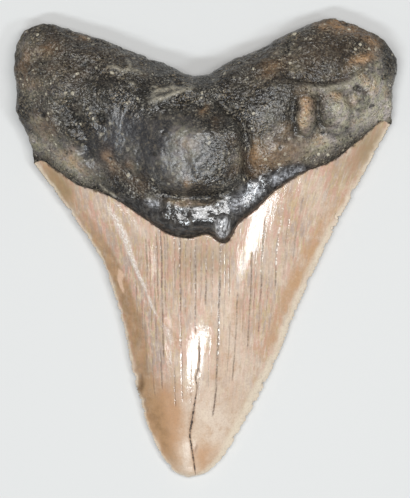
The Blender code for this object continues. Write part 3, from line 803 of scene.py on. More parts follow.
relief = bone * (LUMP_RELIEF * lump_relief + GRIT_RELIEF * grit_relief) * coarse_share
relief = relief - bone * PIT_DEPTH * pit_relief
relief = relief + bourlette_point * WRINKLE_RELIEF * wrinkle_relief
dented = bone * patches(points[:, 0], points[:, 1], BLOCK) * lingual_point
relief = relief + dented * DENT_RELIEF * dent_relief
fluted = 0.15 + 0.85 * smooth_step((flow_point + 13.0) / 6.0)
on_enamel = (1 - root_point) * smooth_step((edge_point - 0.4) / 2.0)
relief = relief + on_enamel * FLUTE_RELIEF * fluted * flute_relief
relief = relief - crack_groove
normals = point_normals(points, faces)
moved = points + normals * relief[:, None]
moved[:, 2] = np.maximum(moved[:, 2], 0.0)
print("relief from", round(float(relief.min()), 2), "to", round(float(relief.max()), 2), "mm")

# %% [markdown]
# ## Stains
# A fossil takes its colours from the ground it lay in. Each stain is a soft patch or a band with a
# place and a strength, and its border is broken up by noise. Some masks here are painted light
# instead: painted shade in grooves, round knobs and in holes, and painted highlights on lumps, the
# block and the bourlette. They are worked out per point as masks, and the finishes turn them into
# colour.

# %% Patches and bands
WARP = 0.9
warp_x = points[:, 0] + WARP * rough_noise(points + 20.0, 3.0, 3)
warp_y = points[:, 1] + WARP * rough_noise(points + 55.0, 3.0, 3)

# Each patch: x, y, half width, half length, turn in degrees, strength.
RUST = [(21.5, 80.8, 6.5, 3.0, 12.0, 0.4), (-19.8, 79.6, 1.3, 2.5, 20.0, 0.85),
        (-0.5, 74.0, 0.7, 1.7, 0.0, 0.6), (28.9, 92.8, 1.7, 2.8, 0.0, 1.0),
        (28.6, 88.2, 1.5, 2.6, 0.0, 0.45), (35.6, 95.0, 1.9, 1.1, -10.0, 0.8),
        (40.0, 93.6, 1.4, 1.4, 0.0, 0.5), (42.6, 104.2, 3.4, 1.2, 38.0, 0.95),
        (38.6, 112.2, 4.2, 1.3, -12.0, 0.7), (33.5, 113.2, 2.6, 1.2, 0.0, 0.5),
        (45.5, 108.5, 2.4, 1.2, -40.0, 0.55), (16.2, 80.5, 1.6, 3.6, 8.0, 0.55),
        (-26.0, 109.8, 1.6, 1.0, 0.0, 0.6), (-34.8, 107.2, 2.6, 1.8, 10.0, 0.35),
        (-40.5, 104.5, 1.2, 2.6, 0.0, 0.35), (-39.0, 98.4, 1.8, 1.4, 0.0, 0.35),
        (-14.8, 78.4, 1.0, 1.0, 0.0, 0.4), (20.4, 101.5, 2.6, 1.4, 30.0, 0.3),
        (3.2, 91.6, 0.9, 1.2, 0.0, 0.55), (-29.6, 80.4, 1.4, 2.0, -20.0, 0.4),
        (-1.0, 68.6, 4.6, 0.9, 0.0, 0.45), (8.6, 104.6, 2.0, 1.0, 25.0, 0.25)]
# Pale ash stains, and painted highlights: on the knobs and lumps of the right lobe, on the left part of the
# block,
ASH_AND_SHEEN = [(48.8, 92.0, 1.2, 3.4, 0.0, 1.0), (-0.5, 68.6, 5.0, 0.9, 0.0, 0.55),
       # near both ends of the border and along the far right rim.
       (43.0, 94.6, 5.4, 5.4, 0.0, 0.9), (-3.2, 79.0, 2.4, 5.0, 8.0, 0.45),
       (-28.5, 78.8, 5.5, 2.8, -32.0, 1.0), (-38.0, 89.4, 1.8, 1.4, 0.0, 0.55),
       (-36.5, 84.0, 2.8, 3.0, 0.0, 0.5), (45.2, 94.0, 4.4, 6.0, 0.0, 1.0),
       (37.6, 91.0, 4.6, 4.4, 0.0, 0.95), (34.0, 83.8, 6.0, 2.4, 25.0, 0.8),
       (23.5, 82.0, 6.5, 3.4, 10.0, 0.2), (28.8, 89.5, 2.0, 4.6, 0.0, 0.75),
       (34.5, 96.4, 7.0, 0.7, 2.0, 0.7), (-14.0, 81.5, 2.2, 3.0, 0.0, 0.25),
       (8.3, 62.6, 1.8, 3.0, 0.0, 1.0), (20.5, 88.0, 2.6, 4.0, 0.0, 0.3),
       (-0.6, 83.6, 2.8, 4.2, 10.0, 0.7), (-31.0, 96.5, 7.0, 5.0, 0.0, 0.18),
       (-38.0, 102.0, 3.5, 8.0, 0.0, 0.2), (46.8, 103.8, 1.6, 3.0, 0.0, 0.4)]
UMBER = [(-35.0, 104.0, 8.0, 8.0, 0.0, 0.65), (-22.0, 104.0, 9.0, 4.0, -10.0, 0.45),
         (31.0, 105.0, 12.0, 5.5, 20.0, 0.75), (14.0, 101.0, 6.0, 4.0, 25.0, 0.3),
         (23.0, 81.0, 8.5, 3.8, 8.0, 0.7), (33.0, 84.5, 6.0, 3.0, 20.0, 0.5),
         (36.8, 99.4, 3.2, 0.9, 0.0, 1.0), (0.6, 73.0, 4.5, 2.0, 0.0, 0.3),
         (16.8, 76.5, 1.4, 2.8, 10.0, 0.7)]
# Dark stains, and painted shade: in the grooves, in the nutrient hole, under the block and along its right
# side, and on the far right flank.
SOOT_AND_SHADE = [(9.0, 81.0, 2.6, 6.0, 0.0, 0.6), (2.6, 89.6, 7.0, 1.6, 0.0, 0.3),
        (-21.5, 89.2, 1.1, 1.1, 0.0, 1.0), (-18.5, 86.5, 6.5, 6.0, 0.0, 0.45),
        (-26.0, 98.0, 17.0, 11.0, -22.0, 0.55), (-27.2, 88.0, 1.3, 5.5, 32.0, 0.7),
        (-24.8, 80.5, 1.2, 4.0, 0.0, 0.6), (-14.5, 73.5, 6.0, 3.4, -25.0, 0.65),
        (14.2, 82.5, 0.9, 5.5, -6.0, 0.8), (12.0, 89.5, 1.4, 3.4, 38.0, 0.6),
        (25.9, 90.5, 0.8, 4.0, 0.0, 0.6), (32.0, 91.0, 0.8, 3.6, 0.0, 0.5),
        (38.6, 96.5, 1.4, 0.8, 0.0, 0.6), (8.5, 98.0, 5.0, 3.0, 20.0, 0.35),
        (-12.5, 90.0, 4.0, 4.0, 0.0, 0.35), (0.0, 70.6, 9.0, 0.9, 0.0, 0.75),
        (19.5, 93.5, 5.0, 5.0, 0.0, 0.5), (4.0, 101.0, 9.0, 4.0, 10.0, 0.3),
        (49.6, 103.5, 1.4, 4.0, 0.0, 0.7)]


def ragged_spots(spots):
    """Soft spots with ragged borders, on the lingual face only."""
    return patches(warp_x, warp_y, spots) * lingual_point


rust_point = ragged_spots(RUST) + 0.25 * smooth_step(rough_noise(points + 5, 7.0, 2) - 0.25)
ash_and_sheen_point = ragged_spots(ASH_AND_SHEEN) + 0.3 * smooth_step(rough_noise(points + 8, 6.0, 2) - 0.3)
umber_point = ragged_spots(UMBER) + (1 - lingual_point) * 0.35
# Painted shade: darker along each groove and in a ring round the foot of each knob.
groove_shade_point = np.zeros(len(points))
for line, half_width, height in CREASES:
    if height < 0:
        away, share = line_distance(points[:, 0], points[:, 1], line)
        groove_shade = 0.6 * np.exp(-((away / (0.75 * half_width)) ** 2)) * smooth_step(6 * share)
        groove_shade_point = np.maximum(groove_shade_point, groove_shade * smooth_step(6 - 6 * share))
for centre_x, centre_y, half_width, half_length, turn, height in KNOBS[1:]:
    off_x, off_y = turned(points[:, 0], points[:, 1], centre_x, centre_y, turn)
    r = np.sqrt((off_x / half_width) ** 2 + (off_y / half_length) ** 2)
    groove_shade_point = np.maximum(groove_shade_point, 0.8 * np.exp(-(((r - 1.08) / 0.15) ** 2)))
soot_and_shade_point = np.clip(patches(warp_x, warp_y, SOOT_AND_SHADE) + groove_shade_point, 0.0, 1.0) * lingual_point
# Darker where the relief is sunk: in the pits, between the lumps and in the holes.
hollow_point = bone * np.clip(pit_relief - 0.5 * lump_relief - 0.35 * grit_relief, -1.0, 1.0)
hollow_point = hollow_point - 0.3 * holes(points[:, 0], points[:, 1], LINGUAL_HOLES) * lingual_point
# Painted shade: the inside of each lingual hole is darkened.
shaded_hole_point = np.zeros(len(points))
for centre_x, centre_y, radius, _ in LINGUAL_HOLES:
    from_hole = np.hypot(points[:, 0] - centre_x, points[:, 1] - centre_y)
    shade = smooth_step((1.05 * radius - from_hole) / 0.6 + 0.5) * min(1.0, 1.1 * radius)
    shaded_hole_point = np.maximum(shaded_hole_point, shade)
shaded_hole_point = shaded_hole_point * lingual_point

# Thin pale scratches on the root, and the broad lines near the border from y 63 to 77, which are painted
# highlights along the bourlette: the points of each line and its half width.
SCRATCHES_AND_SHEEN = [([(-22.5, 73.2), (-19.0, 71.0), (-15.8, 68.6)], 0.35),
             ([(-15.5, 66.8), (-12.5, 64.9), (-9.6, 63.3)], 0.3),
             ([(-11.5, 70.0), (-9.5, 69.2), (-7.0, 67.4)], 0.9),
             ([(9.0, 66.6), (12.5, 68.8), (16.0, 71.6), (18.6, 73.4)], 1.5),
             ([(18.8, 73.2), (22.6, 75.2), (26.0, 76.4), (29.5, 77.0)], 1.0),
             ([(-21.2, 102.0), (-17.0, 101.7), (-13.5, 101.4), (-11.0, 100.8)], 0.3),
             ([(-10.5, 93.2), (-6.0, 94.6), (-2.0, 96.4), (2.2, 97.6)], 0.6),
             ([(-9.6, 93.6), (-8.2, 95.8), (-4.6, 97.0), (-1.0, 97.4)], 0.4),
             ([(-15.6, 104.2), (-14.4, 101.9)], 0.25), ([(-9.0, 97.6), (-7.0, 96.2)], 0.25),
             ([(-14.6, 98.8), (-12.8, 97.9)], 0.2),
             ([(27.5, 97.6), (33.0, 97.0), (38.5, 97.6), (42.0, 100.6)], 0.4)]
scratch_and_sheen_point = np.zeros(len(points))
sway_x = warp_x * 0.4 + points[:, 0] * 0.6
sway_y = warp_y * 0.4 + points[:, 1] * 0.6
for scratch_and_sheen, half_width in SCRATCHES_AND_SHEEN:
    away, share = line_distance(sway_x, sway_y, scratch_and_sheen)
    mark = np.exp(-((away / half_width) ** 2)) * smooth_step(5 * share) * smooth_step(5 - 5 * share)
    scratch_and_sheen_point = np.maximum(scratch_and_sheen_point, mark)
scratch_and_sheen_point = scratch_and_sheen_point * lingual_point


# %% [markdown]
# ## Stains on the enamel
# The crown is darker or paler in bands that follow its cutting edges, so these stains are worked
# out from the distance to an edge. Soft patches add the stains that stand alone.

# %% Stains on the enamel
def band(distance, inner, outer, soft):
    """A stripe beside an edge: an S curve up at its inner limit and one down at its outer limit."""
    return smooth_step((distance - inner) / soft + 0.5) * smooth_step((outer - distance) / soft + 0.5)


# Widths and strengths by y: the golden band inside the left edge, the pale rim and the sand band
# inside the right edge.
GOLD_INNER = [(0.0, 0.5), (20.0, 0.6), (60.0, 0.9), (90.0, 0.9)]
GOLD_OUTER = [(0.0, 2.0), (6.0, 3.0), (12.0, 4.6), (24.0, 5.0), (34.0, 5.0), (44.0, 4.7), (56.0, 3.9),
              (68.0, 3.4), (80.0, 2.4)]
GOLD_STRENGTH = [(0.0, 0.2), (6.0, 0.75), (20.0, 0.95), (30.0, 0.9), (44.0, 1.0), (58.0, 0.85),
                 (66.0, 0.5), (80.0, 0.6)]
GOLD_SOFT = [(0.0, 2.5), (20.0, 3.6), (34.0, 2.0), (50.0, 1.4), (90.0, 2.0)]
RIM_RIGHT = [(0.0, 0.6), (6.0, 1.4), (14.0, 2.1), (30.0, 2.1), (44.0, 1.8), (56.0, 1.7), (68.0, 1.2),
             (90.0, 0.7)]
RIM_LEFT = [(0.0, 0.5), (90.0, 0.8)]
LILAC_STRENGTH = [(0.0, 0.0), (16.0, 0.0), (24.0, 0.8), (50.0, 1.0), (62.0, 0.6), (72.0, 0.0), (90.0, 0.0)]
SAND_OUTER = [(0.0, 2.0), (30.0, 4.5), (44.0, 5.2), (56.0, 4.9), (66.0, 4.4), (90.0, 3.0)]
SAND_STRENGTH = [(0.0, 0.0), (28.0, 0.1), (36.0, 0.5), (44.0, 1.0), (62.0, 1.0), (72.0, 0.3), (90.0, 0.0)]

rise_sway = 0.45 * rough_noise(points * (1.0, 0.35, 1.0) + 33.0, 4.0, 3)
fine_sway = 0.3 * rough_noise(points + 61.0, 1.6, 2)
left_far = left_point + rise_sway + fine_sway
right_far = right_point + rise_sway + fine_sway
gold_inner, gold_outer = value_at(GOLD_INNER, rise_point), value_at(GOLD_OUTER, rise_point)
gold_band = band(left_far, gold_inner, gold_outer, value_at(GOLD_SOFT, rise_point))
gold_point = value_at(GOLD_STRENGTH, rise_point) * gold_band
rim_width = value_at(RIM_RIGHT, rise_point)
sand_band = band(right_far, rim_width, value_at(SAND_OUTER, rise_point), 2.2)
sand_point = value_at(SAND_STRENGTH, rise_point) * sand_band
rim_right = smooth_step((rim_width - right_point - 1.5 * fine_sway) / 1.8 + 0.5)
rim_left = smooth_step((value_at(RIM_LEFT, rise_point) - left_point - fine_sway) / 0.7 + 0.5)
rim_point = np.maximum(rim_right, 0.8 * rim_left)
lilac_outer = gold_outer + 3.2
lilac_point = value_at(LILAC_STRENGTH, rise_point) * band(left_far, lilac_outer - 3.2, lilac_outer, 2.2)

# Patches in the same form as those of the root.
OLIVE = [(-12.2, 55.0, 2.2, 5.0, -15.0, 0.25), (46.0, 84.0, 4.5, 8.0, -30.0, 0.8),
         (40.5, 77.5, 3.5, 8.0, -35.0, 0.35), (-34.5, 74.0, 6.0, 4.5, -50.0, 1.0),
         (3.0, 55.0, 8.0, 5.0, 0.0, 0.5), (-18.0, 58.0, 3.0, 8.0, -20.0, 0.2),
         (-12.2, 22.8, 1.2, 2.4, -15.0, 1.0), (-31.0, 72.0, 4.0, 3.0, -50.0, 0.4)]
TAN = [(-4.9, 15.6, 2.8, 6.6, -10.0, 0.9), (5.4, 7.2, 3.2, 1.8, 20.0, 0.7),
       (3.6, 4.0, 1.8, 3.2, 0.0, 0.8), (20.6, 34.8, 1.6, 2.6, 0.0, 0.8),
       (-5.2, 8.2, 2.0, 4.6, -12.0, 0.9), (-8.4, 16.0, 3.2, 7.0, -12.0, 1.0),
       (-5.6, 21.0, 1.6, 3.4, 0.0, 0.35), (1.5, 7.2, 0.6, 1.3, 0.0, 0.8),
       (8.5, 30.0, 3.0, 8.0, 8.0, 0.3), (-3.2, 35.5, 0.7, 4.0, 5.0, 0.6),
       (13.0, 40.0, 2.0, 7.0, 10.0, 0.3), (25.0, 70.0, 2.5, 4.0, 30.0, 0.25),
       (-2.6, 14.0, 1.0, 4.0, 0.0, 0.4)]
PALE = [(9.0, 43.0, 4.0, 8.0, 12.0, 0.4), (-0.9, 3.8, 1.3, 4.2, 0.0, 1.0),
        (8.6, 11.0, 3.4, 7.0, 25.0, 0.5), (-2.8, 11.5, 2.2, 5.0, 8.0, 0.3),
        (2.0, 26.0, 6.0, 10.0, 0.0, 0.5), (12.0, 30.0, 4.5, 12.0, 15.0, 0.9),
        (22.0, 54.0, 4.0, 12.0, 25.0, 0.5), (32.5, 69.0, 3.0, 9.0, 30.0, 0.6),
        (6.0, 14.0, 4.5, 8.0, 20.0, 0.8), (-12.0, 62.0, 4.0, 3.0, -35.0, 0.4),
        (5.0, 45.0, 7.0, 5.0, 0.0, 0.35)]
# Crisp chips in the enamel, seen as a lighter skin.
FLAKES = [(-17.4, 51.0, 0.9, 2.2, 12.0, 1.0), (-16.7, 48.0, 0.6, 1.5, 10.0, 1.0)]
# Dark brown wedges at the edge.
BROWN = [(-12.6, 22.6, 0.9, 2.6, -14.0, 1.0), (1.8, 7.4, 0.5, 1.0, 0.0, 0.7),
         (9.4, 4.6, 1.0, 0.8, 35.0, 0.5)]
brown_point = ragged_spots(BROWN)
olive_point = ragged_spots(OLIVE)
tan_point = ragged_spots(TAN)
pale_point = ragged_spots(PALE)
flake_point = smooth_step((patches(warp_x, warp_y, FLAKES) - 0.35) / 0.25) * lingual_point
print("golden enamel share", round(float((gold_point > 0.3).mean()), 3))

# %% [markdown]
# ## The mesh
# Only the points that some triangle uses are kept. The grid is in millimetres with its origin at
# the tip, so it is moved and scaled onto the box of the solid, in metres.

# %% Build the mesh
used, faces = np.unique(faces, return_inverse=True)
faces = faces.reshape(-1, 3)
smooth_low, smooth_high = points[used].min(axis=0), points[used].max(axis=0)
scale = (np.array(box_high) - np.array(box_low)) / (smooth_high - smooth_low)
scale[2] = (box_high.z - box_low.z) / smooth_high[2]
places = np.array(box_low) + (moved[used] - (smooth_low[0], smooth_low[1], 0.0)) * scale

mesh = bpy.data.meshes.new("megalodon_tooth")
mesh.vertices.add(len(places))
mesh.vertices.foreach_set("co", places.astype(np.float32).ravel())
mesh.loops.add(faces.size)
mesh.loops.foreach_set("vertex_index", faces.astype(np.int32).ravel())
mesh.polygons.add(len(faces))
mesh.polygons.foreach_set("loop_start", np.arange(0, faces.size, 3, dtype=np.int32))
mesh.polygons.foreach_set("material_index", is_root.astype(np.int32))
mesh.update(calc_edges=True)
mesh.shade_smooth()
tooth = bpy.data.objects.new("megalodon_tooth", mesh)
bpy.context.scene.collection.objects.link(tooth)
print("points", len(places), "triangles", len(faces), "mesh needed repair:", mesh.validate())

# %% [markdown]
# ## Carrying the values
# A mesh can hold a number for each point, under a name. The finishes read these numbers back, which
# is how a mask made here becomes a colour there.

# %% Carry the coordinates and the stains
ATTRIBUTES = {"flow": flow_point, "rise": rise_point, "lingual": lingual_point, "border": border_point,
              "edge": edge_point, "crack": crack_offset, "bourlette": bourlette_point,
              "polish": np.maximum(polish_point, bourlette_point), "hollow": hollow_point,
              "nub": nub_point, "scratch_and_sheen": scratch_and_sheen_point, "shaded_hole": shaded_hole_point, "scar_and_highlight": scar_and_highlight_point,
              "scar_side": scar_side, "lilac": lilac_point, "brown": brown_point, "rust": rust_point,
              "ash_and_sheen": ash_and_sheen_point, "umber": umber_point, "soot_and_shade": soot_and_shade_point, "gold": gold_point,
              "sand": sand_point, "rim": rim_point, "olive": olive_point, "tan": tan_point,
              "pale": pale_point, "flake": flake_point}
for name, values in ATTRIBUTES.items():
    layer = mesh.attributes.new(name, "FLOAT", "POINT")
    layer.data.foreach_set("value", values[used].astype(np.float32))

# %% [markdown]
# ## The unwrapping
# Each sheet is laid flat as it is seen from above or below. The lingual face gets the larger part
# of the square, because it is the one on show.

# %% Lay both sheets flat
LINGUAL_SHARE = 0.6
LABIAL_SHARE = 0.36
UNWRAP_GAP = 0.015
flat = (places[:, :2] - np.array(box_low)[:2]) / (box_high.y - box_low.y)
narrow = (box_high.x - box_low.x) / (box_high.y - box_low.y)
lingual_flat = UNWRAP_GAP + flat * LINGUAL_SHARE / narrow
labial_flat = (1 - UNWRAP_GAP - LABIAL_SHARE, UNWRAP_GAP) + flat * LABIAL_SHARE / narrow
corner_uv = np.where(is_lingual[:, None, None] == 1, lingual_flat[faces], labial_flat[faces])
unwrap = mesh.uv_layers.new(name="OFBake")
unwrap.data.foreach_set("uv", corner_uv.astype(np.float32).ravel())
flat_corners = corner_uv.reshape(-1, 2)
print("unwrapped to", flat_corners.min(axis=0).round(3), flat_corners.max(axis=0).round(3))

# %% [markdown]
# ## A way to write finishes
# A finish is a net of nodes. A few short methods keep the recipe readable: each adds one node and
# hands back its output, which the next step can use.

# %% Node helper
class Finish:
    """A material in the making."""

    def __init__(self, name):
        self.material = bpy.data.materials.new(name)
        self.material.use_nodes = True
        self.nodes = self.material.node_tree.nodes
        self.links = self.material.node_tree.links
        self.shader = self.nodes["Principled BSDF"]

    def feed(self, socket, value):
        """Link an output to a socket, or set a plain value on it."""
        if isinstance(value, bpy.types.NodeSocket):
            self.links.new(value, socket)
        else:
            socket.default_value = value

    def add(self, kind, inputs, output=0, **settings):
        """Add a node, set it up, feed its inputs by number or name, and hand back one output."""
        node = self.nodes.new(kind)
        for name, value in settings.items():
            setattr(node, name, value)
        for key, value in inputs.items():
            self.feed(node.inputs[key], value)
        return node.outputs[output]

    def read(self, name):
        """A value that is carried by the mesh's points."""
        return self.add("ShaderNodeAttribute", {}, "Fac", attribute_name=name)

    def math(self, operation, *values, clamp=False):
        """One step of arithmetic."""
        return self.add("ShaderNodeMath", dict(enumerate(values)), operation=operation, use_clamp=clamp)

    def scaled(self, value, low, high, new_low=0.0, new_high=1.0):
        """The value carried from one range to another, and held inside it, with soft ends."""
        return self.add("ShaderNodeMapRange", {0: value, 1: low, 2: high, 3: new_low, 4: new_high},
                        interpolation_type="SMOOTHSTEP")

    def place(self, x, y, z):
        """Three values as one place."""
        return self.add("ShaderNodeCombineXYZ", {0: x, 1: y, 2: z})

    def stretch(self, place, x, y, z):
        """A place with each side stretched by its own factor."""
        return self.add("ShaderNodeVectorMath", {0: place, 1: (x, y, z)}, operation="MULTIPLY")

    def noise(self, place, scale, detail=2.0, roughness=0.5, distortion=0.0):
        """Smooth noise round 0.5."""
        return self.add("ShaderNodeTexNoise", {"Vector": place, "Scale": scale, "Detail": detail,
                                               "Roughness": roughness, "Distortion": distortion})

    def cells(self, place, scale, output="Distance"):
        """The distance from the nearest of many scattered points, or a random value for each."""
        return self.add("ShaderNodeTexVoronoi", {"Vector": place, "Scale": scale}, output)

    def mix(self, share, first, second, blend="MIX"):
        """Two colours blended by a share."""
        return self.add("ShaderNodeMix", {0: share, 6: first, 7: second}, 2,
                        data_type="RGBA", blend_type=blend)

    def dye(self, tone, mask, strength, *hue):
        """The tone with a colour laid over it, by a mask times a strength."""
        return self.mix(self.math("MULTIPLY", mask, strength), tone, colour(*hue))

    def bump(self, height, distance, before=None, strength=1.0):
        """Fine relief by its height in metres and a share of it, on top of the relief before it."""
        inputs = {"Strength": strength, "Height": height, "Distance": distance}
        if before is not None:
            inputs["Normal"] = before
        return self.add("ShaderNodeBump", inputs)


def colour(red, green, blue):
    """A colour written as on a screen, 0 to 255, turned into the linear values that nodes use."""
    share = np.array([red, green, blue]) / 255
    linear = np.where(share > 0.04045, ((share + 0.055) / 1.055) ** 2.4, share / 12.92)
    return (*linear.tolist(), 1.0)


# %% [markdown]
# ## Enamel
# Fossil enamel is a glassy skin of parallel crystals that the ground has dyed tan. Its streaks,
# flutes and hairline cracks all run from the root to the tip and draw together there. Noise on plain
# space would run straight through them, so the streaks read the share across and the way along that
# each point carries.

# %% Hairline cracks
# Each hairline: its place across at the border, from and to along the tooth, half width, darkness.
HAIRLINES = [(-10.7, 50.0, 60.5, 0.17, 0.6), (-6.95, 30.0, 63.0, 0.19, 0.8), (-5.4, 49.0, 62.0, 0.16, 0.55),
             (-2.2, 32.0, 61.0, 0.2, 0.8), (1.7, 36.0, 61.0, 0.18, 0.75), (4.4, 43.0, 61.5, 0.2, 0.85),
             (7.85, 15.0, 60.0, 0.24, 1.0), (12.5, 24.0, 47.0, 0.19, 0.7), (15.9, 32.0, 57.0, 0.19, 0.75),
             (18.5, 36.0, 66.0, 0.2, 0.8), (22.1, 47.0, 62.0, 0.18, 0.7), (-2.0, 19.0, 33.0, 0.19, 0.7),
             (-4.1, 17.5, 28.5, 0.18, 0.6), (-7.8, 22.0, 33.0, 0.17, 0.6), (10.2, 45.0, 59.0, 0.15, 0.5),
             (-8.8, 34.0, 52.0, 0.16, 0.5), (2.9, 20.0, 37.0, 0.15, 0.45), (26.5, 54.0, 71.0, 0.16, 0.5),
             (-13.6, 40.0, 50.0, 0.15, 0.5), (-12.3, 36.0, 46.0, 0.14, 0.45), (20.3, 40.0, 54.0, 0.14, 0.4),
             (-9.9, 36.0, 60.0, 0.14, 0.45), (-8.0, 44.0, 62.0, 0.16, 0.6), (-6.1, 40.0, 62.0, 0.15, 0.6),
             (-3.6, 44.0, 61.0, 0.14, 0.5), (-0.8, 40.0, 60.0, 0.15, 0.55), (0.5, 46.0, 60.0, 0.13, 0.45),
             (3.1, 44.0, 60.0, 0.14, 0.5), (6.0, 40.0, 58.0, 0.15, 0.5), (9.2, 36.0, 58.0, 0.14, 0.5),
             (14.2, 36.0, 50.0, 0.14, 0.5), (16.9, 40.0, 58.0, 0.13, 0.45), (24.2, 50.0, 66.0, 0.14, 0.4),
             (-11.7, 26.0, 44.0, 0.13, 0.4), (-10.2, 20.0, 34.0, 0.14, 0.45), (0.6, 18.0, 34.0, 0.13, 0.4),
             (5.6, 22.0, 36.0, 0.13, 0.4), (10.8, 26.0, 40.0, 0.13, 0.4)]
# Painted glints: white dotted lines along some hairlines, in the same form, the last number being their
# strength.
PAINTED_GLINT_LINES = [(22.2, 51.0, 69.0, 0.2, 1.0), (18.2, 50.0, 63.0, 0.2, 0.9), (13.4, 49.0, 56.0, 0.16, 0.6),
               (7.9, 27.0, 41.0, 0.16, 0.6)]
HAIRLINE_END = 1.5


def hairlines(enamel, lines, flow, rise):
    """Strong where the point is within a half width of a line, and inside its reach."""
    total = 0.0
    for place, first, last, half_width, darkness in lines:
        off = enamel.math("ABSOLUTE", enamel.math("SUBTRACT", flow, place))
        line = enamel.scaled(off, 2.1 * half_width, 0.0, 0.0, darkness)
        reach = (last - first) / 2
        from_middle = enamel.math("ABSOLUTE", enamel.math("SUBTRACT", rise, (first + last) / 2))
        inside = enamel.scaled(from_middle, reach, reach - HAIRLINE_END)
        total = enamel.math("MAXIMUM", total, enamel.math("MULTIPLY", line, inside))
    return total


# %% [markdown]
# ## The enamel's recipe
# The recipe lays thin colours over each other, from broad streaks to fine grain, then the bands and
# the cracks. The skin stays smooth and glossy, and only its cracks and worn rim are dull.

# %% The enamel finish
def enamel_finish():
    """Pale enamel with fine streaks, golden and sandy bands, a cream rim, hairlines, an open crack, and
    painted glints and shade.
    """
    skin = Finish("enamel")
    body = skin.add("ShaderNodeTexCoord", {}, "Object")
    flow, rise = skin.read("flow"), skin.read("rise")
    face = skin.math("MULTIPLY", skin.read("lingual"), 7.0)
    growth = skin.place(flow, skin.math("MULTIPLY", rise, 0.13), face)
    fine_streaks = skin.noise(growth, 1.7, 3.0, 0.7)
    hue_growth = skin.stretch(growth, 1.0, 1.7, 1.0)
    pink_streaks = skin.noise(hue_growth, 1.05, 3.0, 0.65)
    straw_streaks = skin.noise(skin.stretch(hue_growth, -1.0, 0.9, 1.0), 0.95, 3.0, 0.65)
    broad_streaks = skin.noise(growth, 0.3, 3.0, 0.6)
    mottle = skin.noise(body, 520.0, 4.0, 0.75)
    grain = skin.noise(body, 2200.0, 2.0, 0.6)
    streaky = skin.scaled(rise, 12.0, 34.0, 0.15, 1.0)
    tone = skin.mix(skin.scaled(broad_streaks, 0.34, 0.66), colour(196, 171, 150), colour(211, 188, 168))
    tone = skin.dye(tone, skin.read("lilac"), 0.9, 180, 160, 148)
    tone = skin.dye(tone, skin.scaled(straw_streaks, 0.48, 0.6, 0.0, 0.85), streaky, 206, 184, 144)
    tone = skin.dye(tone, skin.scaled(pink_streaks, 0.48, 0.6, 0.0, 0.9), streaky, 210, 167, 150)
    tone = skin.dye(tone, skin.scaled(pink_streaks, 0.48, 0.36, 0.0, 0.8), streaky, 184, 165, 157)
    tone = skin.mix(skin.scaled(rise, 24.0, 8.0, 0.0, 0.6), tone, colour(218, 191, 163))
    tone = skin.dye(tone, skin.read("pale"), 0.75, 229, 211, 193)
    tone = skin.dye(tone, skin.scaled(fine_streaks, 0.54, 0.7, 0.0, 0.4), streaky, 160, 134, 116)
    tone = skin.dye(tone, skin.scaled(fine_streaks, 0.47, 0.33, 0.0, 0.6), streaky, 236, 219, 202)
    tone = skin.mix(skin.scaled(mottle, 0.52, 0.72, 0.0, 0.5), tone, colour(192, 156, 126))
    tone = skin.mix(skin.scaled(mottle, 0.46, 0.3, 0.0, 0.4), tone, colour(232, 214, 196))
    blotches = skin.noise(body, 300.0, 4.0, 0.7)
    tone = skin.mix(skin.scaled(blotches, 0.52, 0.68, 0.0, 0.45), tone, colour(196, 160, 126))
    tone = skin.mix(skin.scaled(blotches, 0.48, 0.34, 0.0, 0.35), tone, colour(234, 217, 194))
    tone = skin.dye(tone, skin.read("olive"), 0.8, 150, 130, 97)
    tone = skin.dye(tone, skin.read("tan"), 0.75, 192, 145, 104)
    worn = skin.scaled(mottle, 0.3, 0.6, 0.75, 1.0)
    gold_tone = skin.mix(skin.scaled(blotches, 0.38, 0.64), colour(146, 115, 80), colour(174, 138, 100))
    golden = skin.math("MULTIPLY", skin.read("gold"), worn)
    tone = skin.mix(skin.math("MULTIPLY", golden, 0.85), tone, gold_tone)
    sandy = skin.math("MULTIPLY", skin.read("sand"), skin.scaled(blotches, 0.34, 0.6, 0.4, 1.0))
    tone = skin.dye(tone, sandy, 0.8, 200, 161, 124)
    rim = skin.math("MULTIPLY", skin.read("rim"), skin.scaled(blotches, 0.3, 0.55, 0.5, 0.85))
    tone = skin.mix(rim, tone, colour(232, 218, 196))
    tone = skin.dye(tone, skin.read("brown"), 0.85, 112, 86, 62)
    tone = skin.dye(tone, skin.read("flake"), 0.8, 226, 193, 167)
    tone = skin.mix(skin.scaled(grain, 0.4, 0.7, 0.0, 0.22), tone, colour(160, 132, 110))
    slow_noise = skin.noise(skin.stretch(growth, 0.12, 1.2, 1.0), 1.0, 3.0, 0.7)
    wander = skin.scaled(slow_noise, 0.2, 0.8, -0.14, 0.14)
    wandering = skin.math("ADD", flow, wander)
    beads = skin.noise(skin.stretch(growth, 0.3, 7.0, 1.0), 1.6, 2.0, 0.7)
    front = skin.read("lingual")
    hairs = skin.math("MULTIPLY", hairlines(skin, HAIRLINES, wandering, rise), front)
    fading = skin.noise(skin.stretch(growth, 0.6, 1.0, 1.0), 1.0, 2.0, 0.6)
    hairs = skin.math("MULTIPLY", hairs, skin.scaled(fading, 0.36, 0.54, 0.5, 1.1))
    hairs = skin.math("MULTIPLY", hairs, skin.scaled(beads, 0.36, 0.56, 0.5, 1.1))
    tone = skin.dye(tone, hairs, 0.78, 104, 87, 75)
    # Painted glints: near-white beads along a few hairlines.
    painted_glints = skin.math("MULTIPLY", hairlines(skin, PAINTED_GLINT_LINES, wandering, rise), front)
    painted_glints = skin.math("MULTIPLY", painted_glints, skin.scaled(beads, 0.5, 0.58))
    tone = skin.mix(painted_glints, tone, colour(246, 238, 226))
